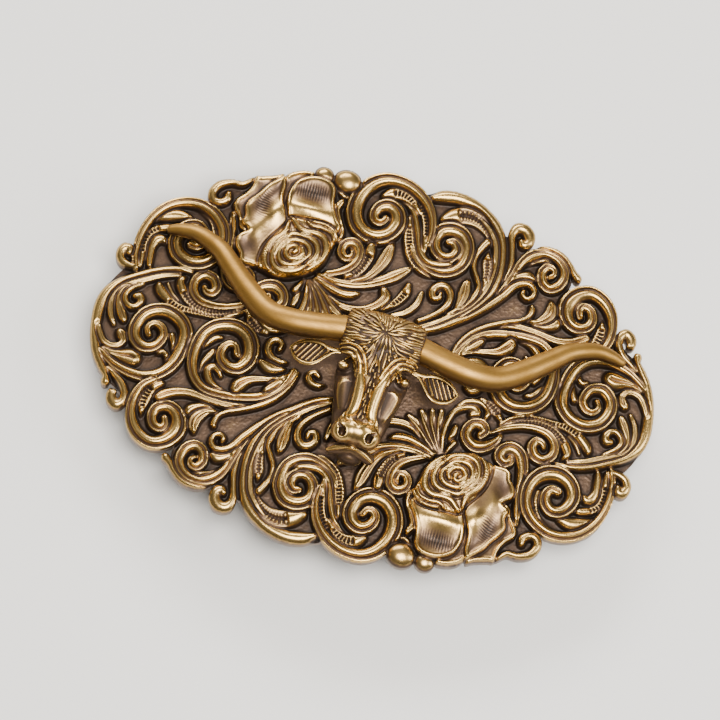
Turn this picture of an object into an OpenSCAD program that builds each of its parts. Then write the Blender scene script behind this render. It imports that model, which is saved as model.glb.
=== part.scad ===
// Western belt buckle: a domed, cast scroll plate with two roses, a cast longhorn head with two
// separate horns screwed to its front, and a swinging belt loop and a hook riveted to its back.
// Millimetres. X runs along the plate, Y up the plate, Z out of its face. The buckle lies on its
// back on Z = 0, and the origin is under the middle of the plate.

/* [Plate] */
// Radius that the plate's back is bent to, about an axis along Y
back_radius = 380; // [300:10:500]
// Height of the plate's back above the surface that the buckle lies on, at mid length
back_height = 9.8; // [9.6:0.1:12]
// Thickness of the plate between the scrolls
web = 2.0; // [1.8:0.1:2.6]
// Height of the scrolls and roses above the ground between them
relief = 1.4; // [0.8:0.1:1.5]
// Width of the raised band that each scroll is drawn with
scroll_band = 1.4; // [0.8:0.1:1.8]

/* [Longhorn] */
// Height of the head's flat back above the ground of the plate
head_lift = 1.8; // [1.6:0.1:2.4]
// Width of the head across the two faces that carry the horns
head_w = 13.2; // [12:0.2:14]
// Radius of the poll, the barrel between the horns
poll_r = 4.4; // [4.2:0.1:5]
// Radius of the socket that holds each horn's tenon
socket_r = 1.3; // [1:0.1:1.6]
// Depth of that socket
socket_deep = 3; // [2:0.5:4]
// Radius of the two screws that hold the head
screw_r = 1.0; // [0.8:0.1:1.2]

/* [Belt loop] */
// Distance of the loop's pivot from mid length
pivot_x = 20; // [18:0.5:22]
// Radius of the loop's wire
wire_r = 1.5; // [1.2:0.1:1.6]
// Distance from the pivot to the bar that the strap folds round
loop_reach = 16; // [14:0.5:17]
// Clear width between the loop's arms, for a 38 mm strap
loop_w = 41; // [39:0.5:42]
// Radius of the eye round the pivot
eye_r = 2.9; // [2.8:0.1:3.2]
// Thickness of each ear
ear_t = 2.5; // [2:0.1:2.6]
// Running clearance round the wire in the ear
running = 0.05; // [0.03:0.01:0.1]

/* [Hook] */
// Distance of the hook's post from mid length
hook_x = 30; // [28:0.5:32]
// Radius of the hook's round bar
hook_r = 1.5; // [1.3:0.1:1.6]
// Radius of the bend between the post and the tongue
hook_bend = 3; // [2.5:0.5:3.5]
// Length of the straight tongue that enters the belt's hole
tongue_len = 6; // [5:0.5:7]

/* [Hidden] */

fine = 256;      // facets on the long, shallow bends
smooth = 64;     // facets on small round features
foot_t = 1.3;    // thickness of the pads that are riveted to the back
clear = 0.3;     // gap between an ear and the arm that swings past it

dome_z = back_height - back_radius;          // height of the axis that the plate is bent about
front_radius = back_radius + web;
relief_radius = front_radius + relief;
ground_z = back_height + web;                // ground of the plate at mid length
pivot_z = eye_r;
arm_y = loop_w / 2 + wire_r;                 // centreline of an arm
pivot_bend = 3;                              // bend between an arm and its pivot stub
corner_bend = 4;                             // bend between an arm and the strap bar
ear_out = arm_y - pivot_bend - clear;        // outer face of an ear
stub_in = ear_out - ear_t - 1;               // the stub ends 1 mm inside its ear
rest_tilt = asin((pivot_z - wire_r) / loop_reach);

screw_y = [4, -11];                          // along the head's centreline
ear_rivet_x = [17.2, 22.8];
ear_rivet_y = 12;
hook_rivet_y = 4.6;
rivet_r = 0.9;
rivet_head_r = 1.6;
rivet_head_h = 0.7;
rivet_grip = 1.5;                            // how far a rivet reaches into the plate

// Lobes of the rim as [x, y, radius], over the lower half. The upper half is the same turned
// by half a turn, as are the scrolls and the roses.
lobes = [[-33.9, -3.2, 14.5], [-42.9, -15.6, 0.9], [-40.2, -17.6, 1.95], [-32.8, -19.6, 5.2],
         [-29.1, -25.6, 0.9], [-23.7, -24.7, 5], [-17.9, -29.9, 2.2], [-5.8, -22.5, 11.6],
         [5.3, -27.2, 6.8], [13.2, -30.6, 2.3], [17.4, -30.2, 1.8], [20.5, -26.5, 3.8],
         [27, -24, 3.4], [32.8, -22.3, 3], [37.5, -12.6, 7.4], [45.9, -7, 2.05]];
ground = [[-46, 0], [-43, -11], [-42.6, -15], [-39, -17], [-30, -22], [-25, -26], [-18, -28.5],
          [-10, -31], [4, -31], [12, -29], [20, -27], [27, -25], [33, -21], [38, -17], [44, -8]];
// Scrolls as [x, y, outer radius]
scrolls = [[6.8, -27.2, 6], [-7, -23.4, 4.6], [-24, -25, 4], [-32.9, -19.8, 4.8], [-37.3, -4.6, 5],
           [-24.2, -3.9, 4.2], [-7.4, -15.4, 2.1], [-16.8, -2.6, 1.9], [-21.4, -20.8, 2.1],
           [9.2, -18.3, 2.3], [20.3, -6.8, 2.9], [26.5, -8.1, 2.5], [31.3, -5.3, 2.4],
           [35.7, -12.2, 5.2], [-42.4, 0, 1.5], [-42.6, -6.9, 1.5], [-40.2, -17.6, 1.8],
           [45.9, -7, 1.9], [33, -22, 2.5], [-17.9, -29.9, 2]];
// Petals of a rose and the berries beside it, as [x, y, radius of the edge]
petals = [[18.6, -14.6, 6], [18.2, -24.2, 5.4], [25.2, -18.6, 4.4], [13.2, -30.6, 2.2], [17.4, -30.2, 1.7]];

// Centreline of the right horn as [x, y, height over the ground at mid length, radius]
horn_path = [[6.6, 2.45, 7.7, 2.3], [12, 1.45, 7.7, 2.25], [16, 1.1, 7.4, 2.2], [20, 1.75, 6.6, 2.15],
             [24, 4.7, 5.4, 2], [28, 8.5, 4, 1.8], [31, 11.2, 3, 1.6], [35, 13.1, 1.9, 1.4],
             [38, 13.3, 1.1, 1.1], [40.6, 13, 0.5, 0.6]];

function half_turned(list) = [for (p = list) [-p[0], -p[1], p[2]]];
function both_halves(list) = concat(list, half_turned(list));

// A cylinder along Y, on the axis that the plate is bent about
module bend(r) {
    translate([0, 50, dome_z]) rotate([90, 0, 0]) cylinder(h = 100, r = r, $fn = fine);
}

// What lies between two radii of the bend, over a flat shape
module domed(r_in, r_out) {
    difference() {
        intersection() {
            linear_extrude(height = 20) children();
            bend(r_out);
        }
        bend(r_in);
    }
}

// The frame at a point of the back, with Z along the outward normal and Z = 0 on the back
module at_back(x, y) {
    translate([0, y, dome_z]) rotate([0, asin(x / back_radius), 0]) translate([0, 0, back_radius]) children();
}

module outline() {
    polygon(concat(ground, [for (p = ground) [-p[0], -p[1]]]));
    for (p = both_halves(lobes)) translate([p[0], p[1]]) circle(r = p[2], $fn = smooth);
}

module scroll(r) {
    difference() {
        circle(r = r, $fn = smooth);
        circle(r = r - scroll_band, $fn = smooth);
    }
    circle(r = r * 0.3, $fn = smooth);
}

// A petal is the cap of a sphere, high enough to stand as proud as the scrolls
module petal(x, y, edge_r) {
    rise = relief + 0.4;
    ball_r = (edge_r * edge_r + rise * rise) / (2 * rise);
    foot_z = dome_z + sqrt(front_radius * front_radius - x * x);
    translate([x, y, foot_z + rise - ball_r]) sphere(r = ball_r, $fn = smooth);
}

module roses() {
    for (p = both_halves(petals)) {
        intersection() {
            petal(p[0], p[1], p[2]);
            translate([p[0], p[1], back_height - 3]) cylinder(h = 12, r = p[2], $fn = smooth);
        }
    }
}

module rivet_hole(x, y) {
    at_back(x, y) translate([0, 0, -1]) cylinder(h = 1 + rivet_grip, r = rivet_r, $fn = smooth);
}

module scroll_plate() {
    color("darkgoldenrod") difference() {
        union() {
            domed(back_radius, front_radius) outline();
            domed(front_radius - 0.3, relief_radius)
                for (p = both_halves(scrolls)) translate([p[0], p[1]]) scroll(p[2]);
            difference() {
                roses();
                bend(front_radius - 0.3);
            }
        }
        for (y = screw_y) translate([0, y, 0]) cylinder(h = 20, r = screw_r + 0.15, $fn = smooth);
        for (x = ear_rivet_x, side = [-1, 1]) rivet_hole(x, side * ear_rivet_y);
        for (side = [-1, 1]) rivet_hole(-hook_x, side * hook_rivet_y);
    }
}

// One ear of the animal, a leaf between its root and its tip
module animal_ear() {
    hull() {
        translate([5.6, -0.6, 6]) sphere(r = 0.7, $fn = 16);
        translate([10.4, -1.9, 5.9]) sphere(r = 1.3, $fn = 16);
        translate([11.2, -3.6, 5.9]) sphere(r = 1.3, $fn = 16);
        translate([14.2, -2.9, 5.2]) sphere(r = 0.5, $fn = 16);
    }
}

module longhorn_head() {
    color("goldenrod") difference() {
        union() {
            translate([0, 0, ground_z]) difference() {
                union() {
                    translate([-head_w / 2, horn_path[0][1] + 0.3, 7.2]) rotate([0, 90, 0])
                        cylinder(h = head_w, r = poll_r, $fn = smooth);
                    translate([0, 1.2, 6]) rotate([90, 0, 0]) cylinder(h = 15.4, r1 = 5.6, r2 = 3.6, $fn = smooth);
                    translate([0, -14.8, 6.2]) sphere(r = 4.2, $fn = smooth);
                    translate([0, 2.5, head_lift]) cylinder(h = 5, r = 5, $fn = smooth);
                    translate([0, -10, head_lift]) cylinder(h = 4, r = 3.2, $fn = smooth);
                    animal_ear();
                    mirror([1, 0, 0]) animal_ear();
                }
                translate([-20, -30, -20]) cube([40, 60, 20 + head_lift]);
            }
            for (y = screw_y) translate([0, y, ground_z]) cylinder(h = 5, r = 2.2, $fn = smooth);
        }
        for (y = screw_y) translate([0, y, 0]) cylinder(h = ground_z + 4, r = screw_r, $fn = smooth);
        for (side = [-1, 1])
            translate([side * head_w / 2, horn_path[0][1], ground_z + horn_path[0][2]])
                rotate([0, -side * 90, 0]) translate([0, 0, -1])
                    cylinder(h = socket_deep + 1, r = socket_r, $fn = smooth);
    }
}

// Catmull-Rom through a list of points, n steps to each span
function spline_at(p, i, t) =
    let (a = p[max(i - 1, 0)], b = p[i], c = p[i + 1], d = p[min(i + 2, len(p) - 1)])
    0.5 * ((2 * b) + (c - a) * t + (2 * a - 5 * b + 4 * c - d) * t * t + (3 * b - a - 3 * c + d) * t * t * t);
function spline(p, n) = concat([for (i = [0 : len(p) - 2], k = [0 : n - 1]) spline_at(p, i, k / n)], [p[len(p) - 1]]);
function unit(v) = v / norm(v);
function heading(p, i) =
    i == 0 ? [1, 0, 0] : unit([for (k = [0 : 2]) p[min(i + 1, len(p) - 1)][k] - p[i - 1][k]]);
function ring(p, i, sides) =
    let (t = heading(p, i), across = unit(cross([0, 0, 1], t)), up = cross(t, across))
    [for (s = [0 : sides - 1]) [p[i][0], p[i][1], p[i][2]]
        + p[i][3] * (cos(360 * s / sides) * across + sin(360 * s / sides) * up)];

// A tube whose radius follows the fourth number of each point of its path
module tapered_tube(path, sides) {
    n = len(path);
    points = [for (i = [0 : n - 1]) each ring(path, i, sides)];
    skin = [for (i = [0 : n - 2], s = [0 : sides - 1])
        let (s2 = (s + 1) % sides) [i * sides + s, i * sides + s2, (i + 1) * sides + s2, (i + 1) * sides + s]];
    root = [[for (s = [0 : sides - 1]) sides - 1 - s]];
    tip = [[for (s = [0 : sides - 1]) (n - 1) * sides + s]];
    polyhedron(points = points, faces = [for (f = concat(skin, root, tip)) [for (k = [len(f) - 1 : -1 : 0]) f[k]]]);
}

module horn() {
    path = [for (p = spline(horn_path, 3)) [p[0], p[1], p[2] + ground_z, p[3]]];
    tapered_tube(path, 20);
    translate([head_w / 2 - socket_deep + 0.2, horn_path[0][1], ground_z + horn_path[0][2]])
        rotate([0, 90, 0]) cylinder(h = socket_deep - 0.2, r = socket_r, $fn = smooth);
}

module right_horn() {
    color("burlywood") horn();
}

module left_horn() {
    color("burlywood") mirror([1, 0, 0]) horn();
}

// A slotted screw driven through the plate from behind, its head against the plate's back
module head_screw(y) {
    head_h = 1.2;
    seat_z = back_height - 0.01;
    color("dimgray") translate([0, y, 0]) difference() {
        union() {
            translate([0, 0, seat_z - head_h]) cylinder(h = head_h, r = 1.9, $fn = smooth);
            translate([0, 0, seat_z]) cylinder(h = web + 3.5, r = screw_r, $fn = smooth);
        }
        translate([-2.5, -0.25, seat_z - head_h - 1]) cube([5, 0.5, 1.5]);
    }
}

module upper_head_screw() {
    head_screw(screw_y[0]);
}

module lower_head_screw() {
    head_screw(screw_y[1]);
}

// A foot riveted to the back, and the ear that the loop's wire turns in
module bail_ear() {
    difference() {
        union() {
            domed(back_radius - foot_t, back_radius) translate([pivot_x - 4.5, ear_rivet_y - 2.5])
                square([9, ear_out - ear_rivet_y + 2.5]);
            translate([0, ear_out, 0]) rotate([90, 0, 0]) linear_extrude(height = ear_t) {
                translate([pivot_x, pivot_z]) circle(r = eye_r, $fn = smooth);
                polygon([[pivot_x - eye_r, pivot_z], [pivot_x - 3.2, back_height - 1.2],
                         [pivot_x + 3.2, back_height - 1.2], [pivot_x + eye_r, pivot_z]]);
            }
        }
        translate([pivot_x, ear_out + 1, pivot_z]) rotate([90, 0, 0])
            cylinder(h = ear_t + 2, r = wire_r + running, $fn = smooth);
        for (x = ear_rivet_x) at_back(x, ear_rivet_y) translate([0, 0, -3]) cylinder(h = 4, r = rivet_r, $fn = smooth);
    }
}

module upper_ear() {
    color("peru") bail_ear();
}

module lower_ear() {
    color("peru") mirror([0, 1, 0]) bail_ear();
}

// A rivet through a foot and into the plate, with a low head outside the foot
module rivet(x, y) {
    color("saddlebrown") at_back(x, y) {
        translate([0, 0, -foot_t]) cylinder(h = foot_t + rivet_grip, r = rivet_r, $fn = smooth);
        translate([0, 0, -foot_t - rivet_head_h])
            cylinder(h = rivet_head_h, r1 = rivet_head_r * 0.6, r2 = rivet_head_r, $fn = smooth);
    }
}

module upper_ear_inner_rivet() {
    rivet(ear_rivet_x[0], ear_rivet_y);
}

module upper_ear_outer_rivet() {
    rivet(ear_rivet_x[1], ear_rivet_y);
}

module lower_ear_inner_rivet() {
    rivet(ear_rivet_x[0], -ear_rivet_y);
}

module lower_ear_outer_rivet() {
    rivet(ear_rivet_x[1], -ear_rivet_y);
}

module upper_hook_rivet() {
    rivet(-hook_x, hook_rivet_y);
}

module lower_hook_rivet() {
    rivet(-hook_x, -hook_rivet_y);
}

// A quarter bend of round bar, from the X axis round to the Y axis
module quarter_bend(bend_r, bar_r) {
    rotate_extrude(angle = 90, $fn = fine) translate([bend_r, 0]) circle(r = bar_r, $fn = smooth);
}

// Half of the loop, flat on Z = 0 with its pivot at the origin and its arm along -X
module half_loop() {
    translate([0, stub_in, 0]) rotate([-90, 0, 0])
        cylinder(h = arm_y - pivot_bend - stub_in, r = wire_r, $fn = smooth);
    translate([-pivot_bend, arm_y - pivot_bend, 0]) quarter_bend(pivot_bend, wire_r);
    translate([-pivot_bend, arm_y, 0]) rotate([0, -90, 0])
        cylinder(h = loop_reach - pivot_bend - corner_bend, r = wire_r, $fn = smooth);
    translate([corner_bend - loop_reach, arm_y - corner_bend, 0]) rotate([0, 0, 90])
        quarter_bend(corner_bend, wire_r);
    translate([-loop_reach, 0, 0]) rotate([-90, 0, 0]) cylinder(h = arm_y - corner_bend, r = wire_r, $fn = smooth);
}

module belt_loop() {
    color("tan") translate([pivot_x, 0, pivot_z]) rotate([0, -rest_tilt, 0]) {
        half_loop();
        mirror([0, 1, 0]) half_loop();
    }
}

module hook_base() {
    color("peru") difference() {
        domed(back_radius - foot_t, back_radius) translate([-hook_x - 3.6, -7]) square([7.2, 14]);
        translate([-hook_x, 0, 0]) cylinder(h = 20, r = hook_r, $fn = smooth);
        for (side = [-1, 1])
            at_back(-hook_x, side * hook_rivet_y) translate([0, 0, -3]) cylinder(h = 4, r = rivet_r, $fn = smooth);
    }
}

// A bar peened into its base, bent outwards so that the belt's hole slips over its tongue
module hook_prong() {
    post_top = dome_z + sqrt(back_radius * back_radius - pow(hook_x + hook_r, 2)) - 0.05;
    bend_z = hook_r + hook_bend;
    color("tan") {
        translate([-hook_x, 0, bend_z]) cylinder(h = post_top - bend_z, r = hook_r, $fn = smooth);
        translate([-hook_x - hook_bend, 0, bend_z]) rotate([90, 0, 0]) mirror([0, 1, 0])
            quarter_bend(hook_bend, hook_r);
        translate([-hook_x - hook_bend, 0, hook_r]) rotate([0, -90, 0]) {
            cylinder(h = tongue_len, r = hook_r, $fn = smooth);
            translate([0, 0, tongue_len]) sphere(r = hook_r, $fn = smooth);
        }
    }
}

scroll_plate();
longhorn_head();
left_horn();
right_horn();
upper_head_screw();
lower_head_screw();
upper_ear();
upper_ear_inner_rivet();
upper_ear_outer_rivet();
lower_ear();
lower_ear_inner_rivet();
lower_ear_outer_rivet();
belt_loop();
hook_base();
upper_hook_rivet();
lower_hook_rivet();
hook_prong();
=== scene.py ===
"""A western belt buckle: a cast scroll plate with a longhorn head on its front and the strap
hardware riveted to its back. Lengths are in millimetres until mesh_object() turns them to metres."""
import math
import random

import bmesh
import bpy
import numpy as np
import openvdb
from mathutils import Matrix, Vector
from mathutils.geometry import delaunay_2d_cdt


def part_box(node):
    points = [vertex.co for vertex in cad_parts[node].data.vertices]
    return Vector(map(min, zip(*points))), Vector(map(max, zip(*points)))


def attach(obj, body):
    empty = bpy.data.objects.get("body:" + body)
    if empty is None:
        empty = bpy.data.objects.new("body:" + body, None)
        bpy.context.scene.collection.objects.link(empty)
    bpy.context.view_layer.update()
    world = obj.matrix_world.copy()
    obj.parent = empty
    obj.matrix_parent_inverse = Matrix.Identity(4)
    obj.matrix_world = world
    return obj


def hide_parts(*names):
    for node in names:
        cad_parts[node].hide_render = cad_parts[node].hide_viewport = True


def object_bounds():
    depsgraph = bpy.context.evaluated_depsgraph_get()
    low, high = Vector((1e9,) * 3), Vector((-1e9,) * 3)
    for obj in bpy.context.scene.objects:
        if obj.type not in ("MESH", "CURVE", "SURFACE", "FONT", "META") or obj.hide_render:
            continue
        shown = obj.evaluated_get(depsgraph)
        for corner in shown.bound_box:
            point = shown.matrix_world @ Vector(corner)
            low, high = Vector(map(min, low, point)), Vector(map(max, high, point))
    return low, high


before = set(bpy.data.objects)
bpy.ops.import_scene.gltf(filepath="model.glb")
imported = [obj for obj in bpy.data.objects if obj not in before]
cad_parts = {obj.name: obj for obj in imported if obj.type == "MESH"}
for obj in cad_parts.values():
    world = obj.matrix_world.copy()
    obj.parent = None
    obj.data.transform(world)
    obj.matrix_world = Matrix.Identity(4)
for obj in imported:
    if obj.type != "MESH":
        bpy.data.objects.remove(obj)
cad_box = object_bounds()

MM = 0.001
BACK_RADIUS = 380.0     # of the plate's bend
WEB = 2.0               # thickness of the plate between the scrolls

plate_low, plate_high = (np.array(c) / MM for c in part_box("scroll_plate"))
BEND_Z = plate_low[2] - math.sqrt(BACK_RADIUS**2 - plate_high[0] ** 2)
CROWN = BEND_Z + BACK_RADIUS + WEB      # height of the ground between the scrolls, at mid length


# ---------------------------------------------------------------- meshes

def new_object(name, mesh):
    obj = bpy.data.objects.new(name, mesh)
    bpy.context.scene.collection.objects.link(obj)
    return obj


def mesh_object(name, points, *faces):
    """A smooth mesh from points in millimetres and arrays of triangles or quads."""
    mesh = bpy.data.meshes.new(name)
    loops = np.concatenate([f.ravel() for f in faces]).astype(np.int32)
    sizes = np.concatenate([np.full(len(f), f.shape[1]) for f in faces])
    starts = np.concatenate([[0], np.cumsum(sizes)[:-1]]).astype(np.int32)
    mesh.vertices.add(len(points))
    mesh.vertices.foreach_set("co", (np.asarray(points) * MM).astype(np.float32).ravel())
    mesh.loops.add(len(loops))
    mesh.loops.foreach_set("vertex_index", loops)
    mesh.polygons.add(len(starts))
    mesh.polygons.foreach_set("loop_start", starts)
    mesh.polygons.foreach_set("use_smooth", np.ones(len(starts), bool))
    mesh.update(calc_edges=True)
    mesh.validate()
    return new_object(name, mesh)


def give(obj, name, values):
    """Stores one number per vertex for the material to read."""
    attribute = obj.data.attributes.new(name, "FLOAT", "POINT")
    attribute.data.foreach_set("value", np.asarray(values, np.float32).ravel())


def skin_over(rings, first, last):
    """Points and faces of a closed skin over rings of points, with a fan round the first and the
    last point."""
    rings = np.asarray(rings)
    count, sides = rings.shape[:2]
    k = np.arange(sides)
    after = (k + 1) % sides
    quads = [np.stack([after, after + sides, k + sides, k], 1) + i * sides for i in range(count - 1)]
    total, end = count * sides, (count - 1) * sides
    fans = [np.stack([after, k, np.full(sides, total)], 1),
            np.stack([end + k, end + after, np.full(sides, total + 1)], 1)]
    return np.vstack([rings.reshape(-1, 3), first, last]), [np.concatenate(quads), *fans]


def numbers(text, columns):
    """Rows of numbers from a text."""
    return np.array([float(n) for n in text.replace(",", " ").split()]).reshape(-1, columns)


def catmull_rom(rows, step, place=2, closed=False):
    """A curve through rows of numbers, a step apart. The first numbers of a row are its place."""
    p = np.array(rows, float)
    before, beyond = (p[-1:], p[:2]) if closed else (2 * p[:1] - p[1:2], 2 * p[-1:] - p[-2:-1])
    p = np.vstack([before, p, beyond])
    pieces = []
    for a, b, c, d in zip(p, p[1:], p[2:], p[3:]):
        n = max(1 if closed else 2, int(math.hypot(*(c - b)[:place]) / step))
        t = np.arange(n)[:, None] / n
        pieces.append(0.5 * (2 * b + (c - a) * t + (2 * a - 5 * b + 4 * c - d) * t**2
                             + (3 * b - a - 3 * c + d) * t**3))
    return np.vstack(pieces if closed else pieces + [p[-2:-1]])


# ---------------------------------------------------------------- relief

def blur(field, size):
    """Gaussian blur, size in grid steps."""
    reach = max(1, int(size * 2.5))
    kernel = np.exp(-0.5 * (np.arange(-reach, reach + 1) / size) ** 2)
    kernel /= kernel.sum()
    for axis in (0, 1):
        padded = np.pad(field, [(reach, reach) if a == axis else (0, 0) for a in (0, 1)], mode="edge")
        n = field.shape[axis]
        field = sum(np.take(padded, range(k, k + n), axis) * w for k, w in enumerate(kernel))
    return field


def stroke_path(text, wider=1.0, side=1):
    """A stroke's path from its text, as rows of x, y and half-width."""
    path = catmull_rom(numbers(text, 3) * (side, 1, 1), 0.08)
    path[:, 2] = np.maximum(path[:, 2], 0.06) * wider
    return path


def turning(path):
    """+1 for a path that turns left on the whole, -1 for right."""
    d = np.diff(path[:, :2], axis=0)
    return np.sign((d[:-1, 0] * d[1:, 1] - d[:-1, 1] * d[1:, 0]).sum())


# A rim, a narrow groove and a round roll: height at places from the inner to the outer edge.
BAND = [(-1, 0), (-0.93, 0.4), (-0.75, 0.72), (-0.45, 0.95), (-0.15, 1), (0.08, 0.93), (0.24, 0.75),
        (0.34, 0.4), (0.4, 0.3), (0.46, 0.42), (0.55, 0.78), (0.7, 0.88), (0.86, 0.72), (1, 0)]


def section(kind, u, s, total):
    """Height of a stroke, 0 to 1. u is -1 on its inner edge and +1 on its outer one, and s runs
    along it in millimetres."""
    def bars(pitch):
        return 0.5 + 0.5 * np.cos(s * 2 * np.pi / pitch)

    def strip(half_width, start, fade):
        live = np.clip((s - start * total) / fade, 0, 1) * np.clip((0.8 * total - s) / fade, 0, 1)
        return np.exp(-((u / half_width) ** 4)) * live

    if kind == "band":
        return np.interp(u, *zip(*BAND))
    round_top = np.clip(1 - u * u, 0, 1) ** 0.5
    if kind == "leaf":      # one groove down the middle
        return round_top * (1 - 0.45 * np.exp(-(u / 0.17) ** 2))
    if kind == "flute":     # two grooves
        return round_top * (1 - 0.45 * np.exp(-((np.abs(u) - 0.36) / 0.13) ** 2))
    if kind == "ladder":    # bars across a sunk middle
        return round_top * (1 - strip(0.45, 0.22, 0.5) * (0.95 - 0.9 * bars(0.62)))
    if kind == "beads":     # two rows of beads
        rows = np.exp(-((np.abs(u) - 0.32) / 0.2) ** 2)
        return round_top * (1 - strip(0.65, 0.15, 0.4) * (0.9 - 0.9 * bars(0.58) * rows))
    return round_top


class Relief:
    """Heights on a grid, built up from strokes."""

    def __init__(self, half_x, half_y, pitch):
        self.pitch = pitch
        self.x = np.arange(-round(half_x / pitch), round(half_x / pitch) + 1) * pitch
        self.y = np.arange(-round(half_y / pitch), round(half_y / pitch) + 1) * pitch
        self.height = np.zeros((len(self.y), len(self.x)))
        self.outside = np.full(self.height.shape, 99.0)     # distance outside every stroke
        self.tone = np.zeros(self.height.shape)             # painted highlights and painted shade laid on the finish

    def window(self, low_x, high_x, low_y, high_y):
        """Slices of the rows and columns between some limits."""
        def span(axis, low, high):
            return slice(max(0, np.searchsorted(axis, low)), min(len(axis), np.searchsorted(axis, high)))
        return span(self.y, low_y, high_y), span(self.x, low_x, high_x)

    def around(self, x, y, reach):
        """The window round some points."""
        return self.window((x - reach).min(), (x + reach).max(), (y - reach).min(), (y + reach).max())

    def nearest(self, path, reach):
        """The window round a path, and there the distance over half-width with the side as its
        sign, the place along the path, the distance outside its edge, and the path's nearest row."""
        x, y, w = path.T
        tangent = np.gradient(path[:, :2], axis=0)
        run = np.concatenate([[0], np.cumsum(np.hypot(np.diff(x), np.diff(y)))])
        rows, cols = self.around(x, y, w + reach)
        best = np.full((rows.stop - rows.start, cols.stop - cols.start), 99.0)
        at = np.zeros(best.shape, int)
        for k in range(0, len(x), 32):
            part = slice(k, k + 33)
            r, c = self.around(x[part], y[part], w[part] + reach)
            if r.stop <= r.start or c.stop <= c.start:
                continue
            gx, gy = np.meshgrid(self.x[c], self.y[r])
            d = np.hypot(gx[..., None] - x[part], gy[..., None] - y[part]) - w[part]
            here = (slice(r.start - rows.start, r.stop - rows.start),
                    slice(c.start - cols.start, c.stop - cols.start))
            least = d.min(-1)
            closer = least < best[here]
            best[here] = np.where(closer, least, best[here])
            at[here] = np.where(closer, d.argmin(-1) + k, at[here])
        gx, gy = np.meshgrid(self.x[cols], self.y[rows])
        side = np.sign(tangent[at, 0] * (gy - y[at]) - tangent[at, 1] * (gx - x[at]))
        u = (best + w[at]) / w[at] * np.where(side == 0, 1, side)
        return (rows, cols), u, run[at], best, at

    def lay(self, kind, height, text, wider=1.0, moat=0.75, side=1):
        """Adds a stroke, in a cut that clears what is already there."""
        path = stroke_path(text, wider, side)
        here, u, s, out, at = self.nearest(path, 0.5)
        tall = height * np.clip(path[at, 2] / 0.55, 0.4, 1)
        new = np.where(out < 0, tall * section(kind, u * -turning(path), s, s.max() + 1e-6), 0)
        depth = moat * np.clip(s / 2.0 - 0.1, 0, 1)
        edge = np.clip(1.2 - np.maximum(out, 0) / 0.13, 0, 1)
        self.height[here] = np.maximum(self.height[here] * (1 - edge * depth), new)
        trimmed = 0.6 * path[at, 2] * (1 - 1 / wider)       # the outline stays with the drawn width
        self.outside[here] = np.minimum(self.outside[here], out + trimmed)

    def ball(self, x, y, radius_x, radius_y, height):
        """Adds a rounded knob, in a cut of its own."""
        gx, gy = np.meshgrid(self.x, self.y)
        q = np.hypot((gx - x) / radius_x, (gy - y) / radius_y)
        out = (q - 1) * min(radius_x, radius_y)
        edge = np.clip(1.3 - np.maximum(out, 0) / 0.14, 0, 1)
        new = np.where(q < 1, height * np.clip(1 - q * q, 0, 1) ** 0.45, 0)
        self.height = np.maximum(self.height * (1 - 0.75 * edge), new)
        self.outside = np.minimum(self.outside, out)

    def ridge(self, text, height, cut):
        """Adds a ridge on top of what is there, with a crevice on both sides."""
        here, u, _, out, _ = self.nearest(stroke_path(text, wider=1.25), 0.4)
        self.height[here] += height * np.clip(1 - u * u, 0, 1) ** 0.6 * (out < 0)
        self.height[here] -= cut * np.clip(1 - out / 0.25, 0, 1) * (out > 0)

    def half_turned(self):
        """Adds the same relief after half a turn."""
        self.height = np.maximum(self.height, self.height[::-1, ::-1])
        self.outside = np.minimum(self.outside, self.outside[::-1, ::-1])
        self.tone = self.tone + self.tone[::-1, ::-1]

    def sample(self, field, x, y):
        """Bilinear reading of a field of this grid at any places."""
        u = np.clip((x - self.x[0]) / self.pitch, 0, len(self.x) - 1.001)
        v = np.clip((y - self.y[0]) / self.pitch, 0, len(self.y) - 1.001)
        i, j = v.astype(int), u.astype(int)
        a, b = v - i, u - j
        return ((1 - a) * ((1 - b) * field[i, j] + b * field[i, j + 1])
                + a * ((1 - b) * field[i + 1, j] + b * field[i + 1, j + 1]))


# ---------------------------------------------------------------- scroll plate

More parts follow.
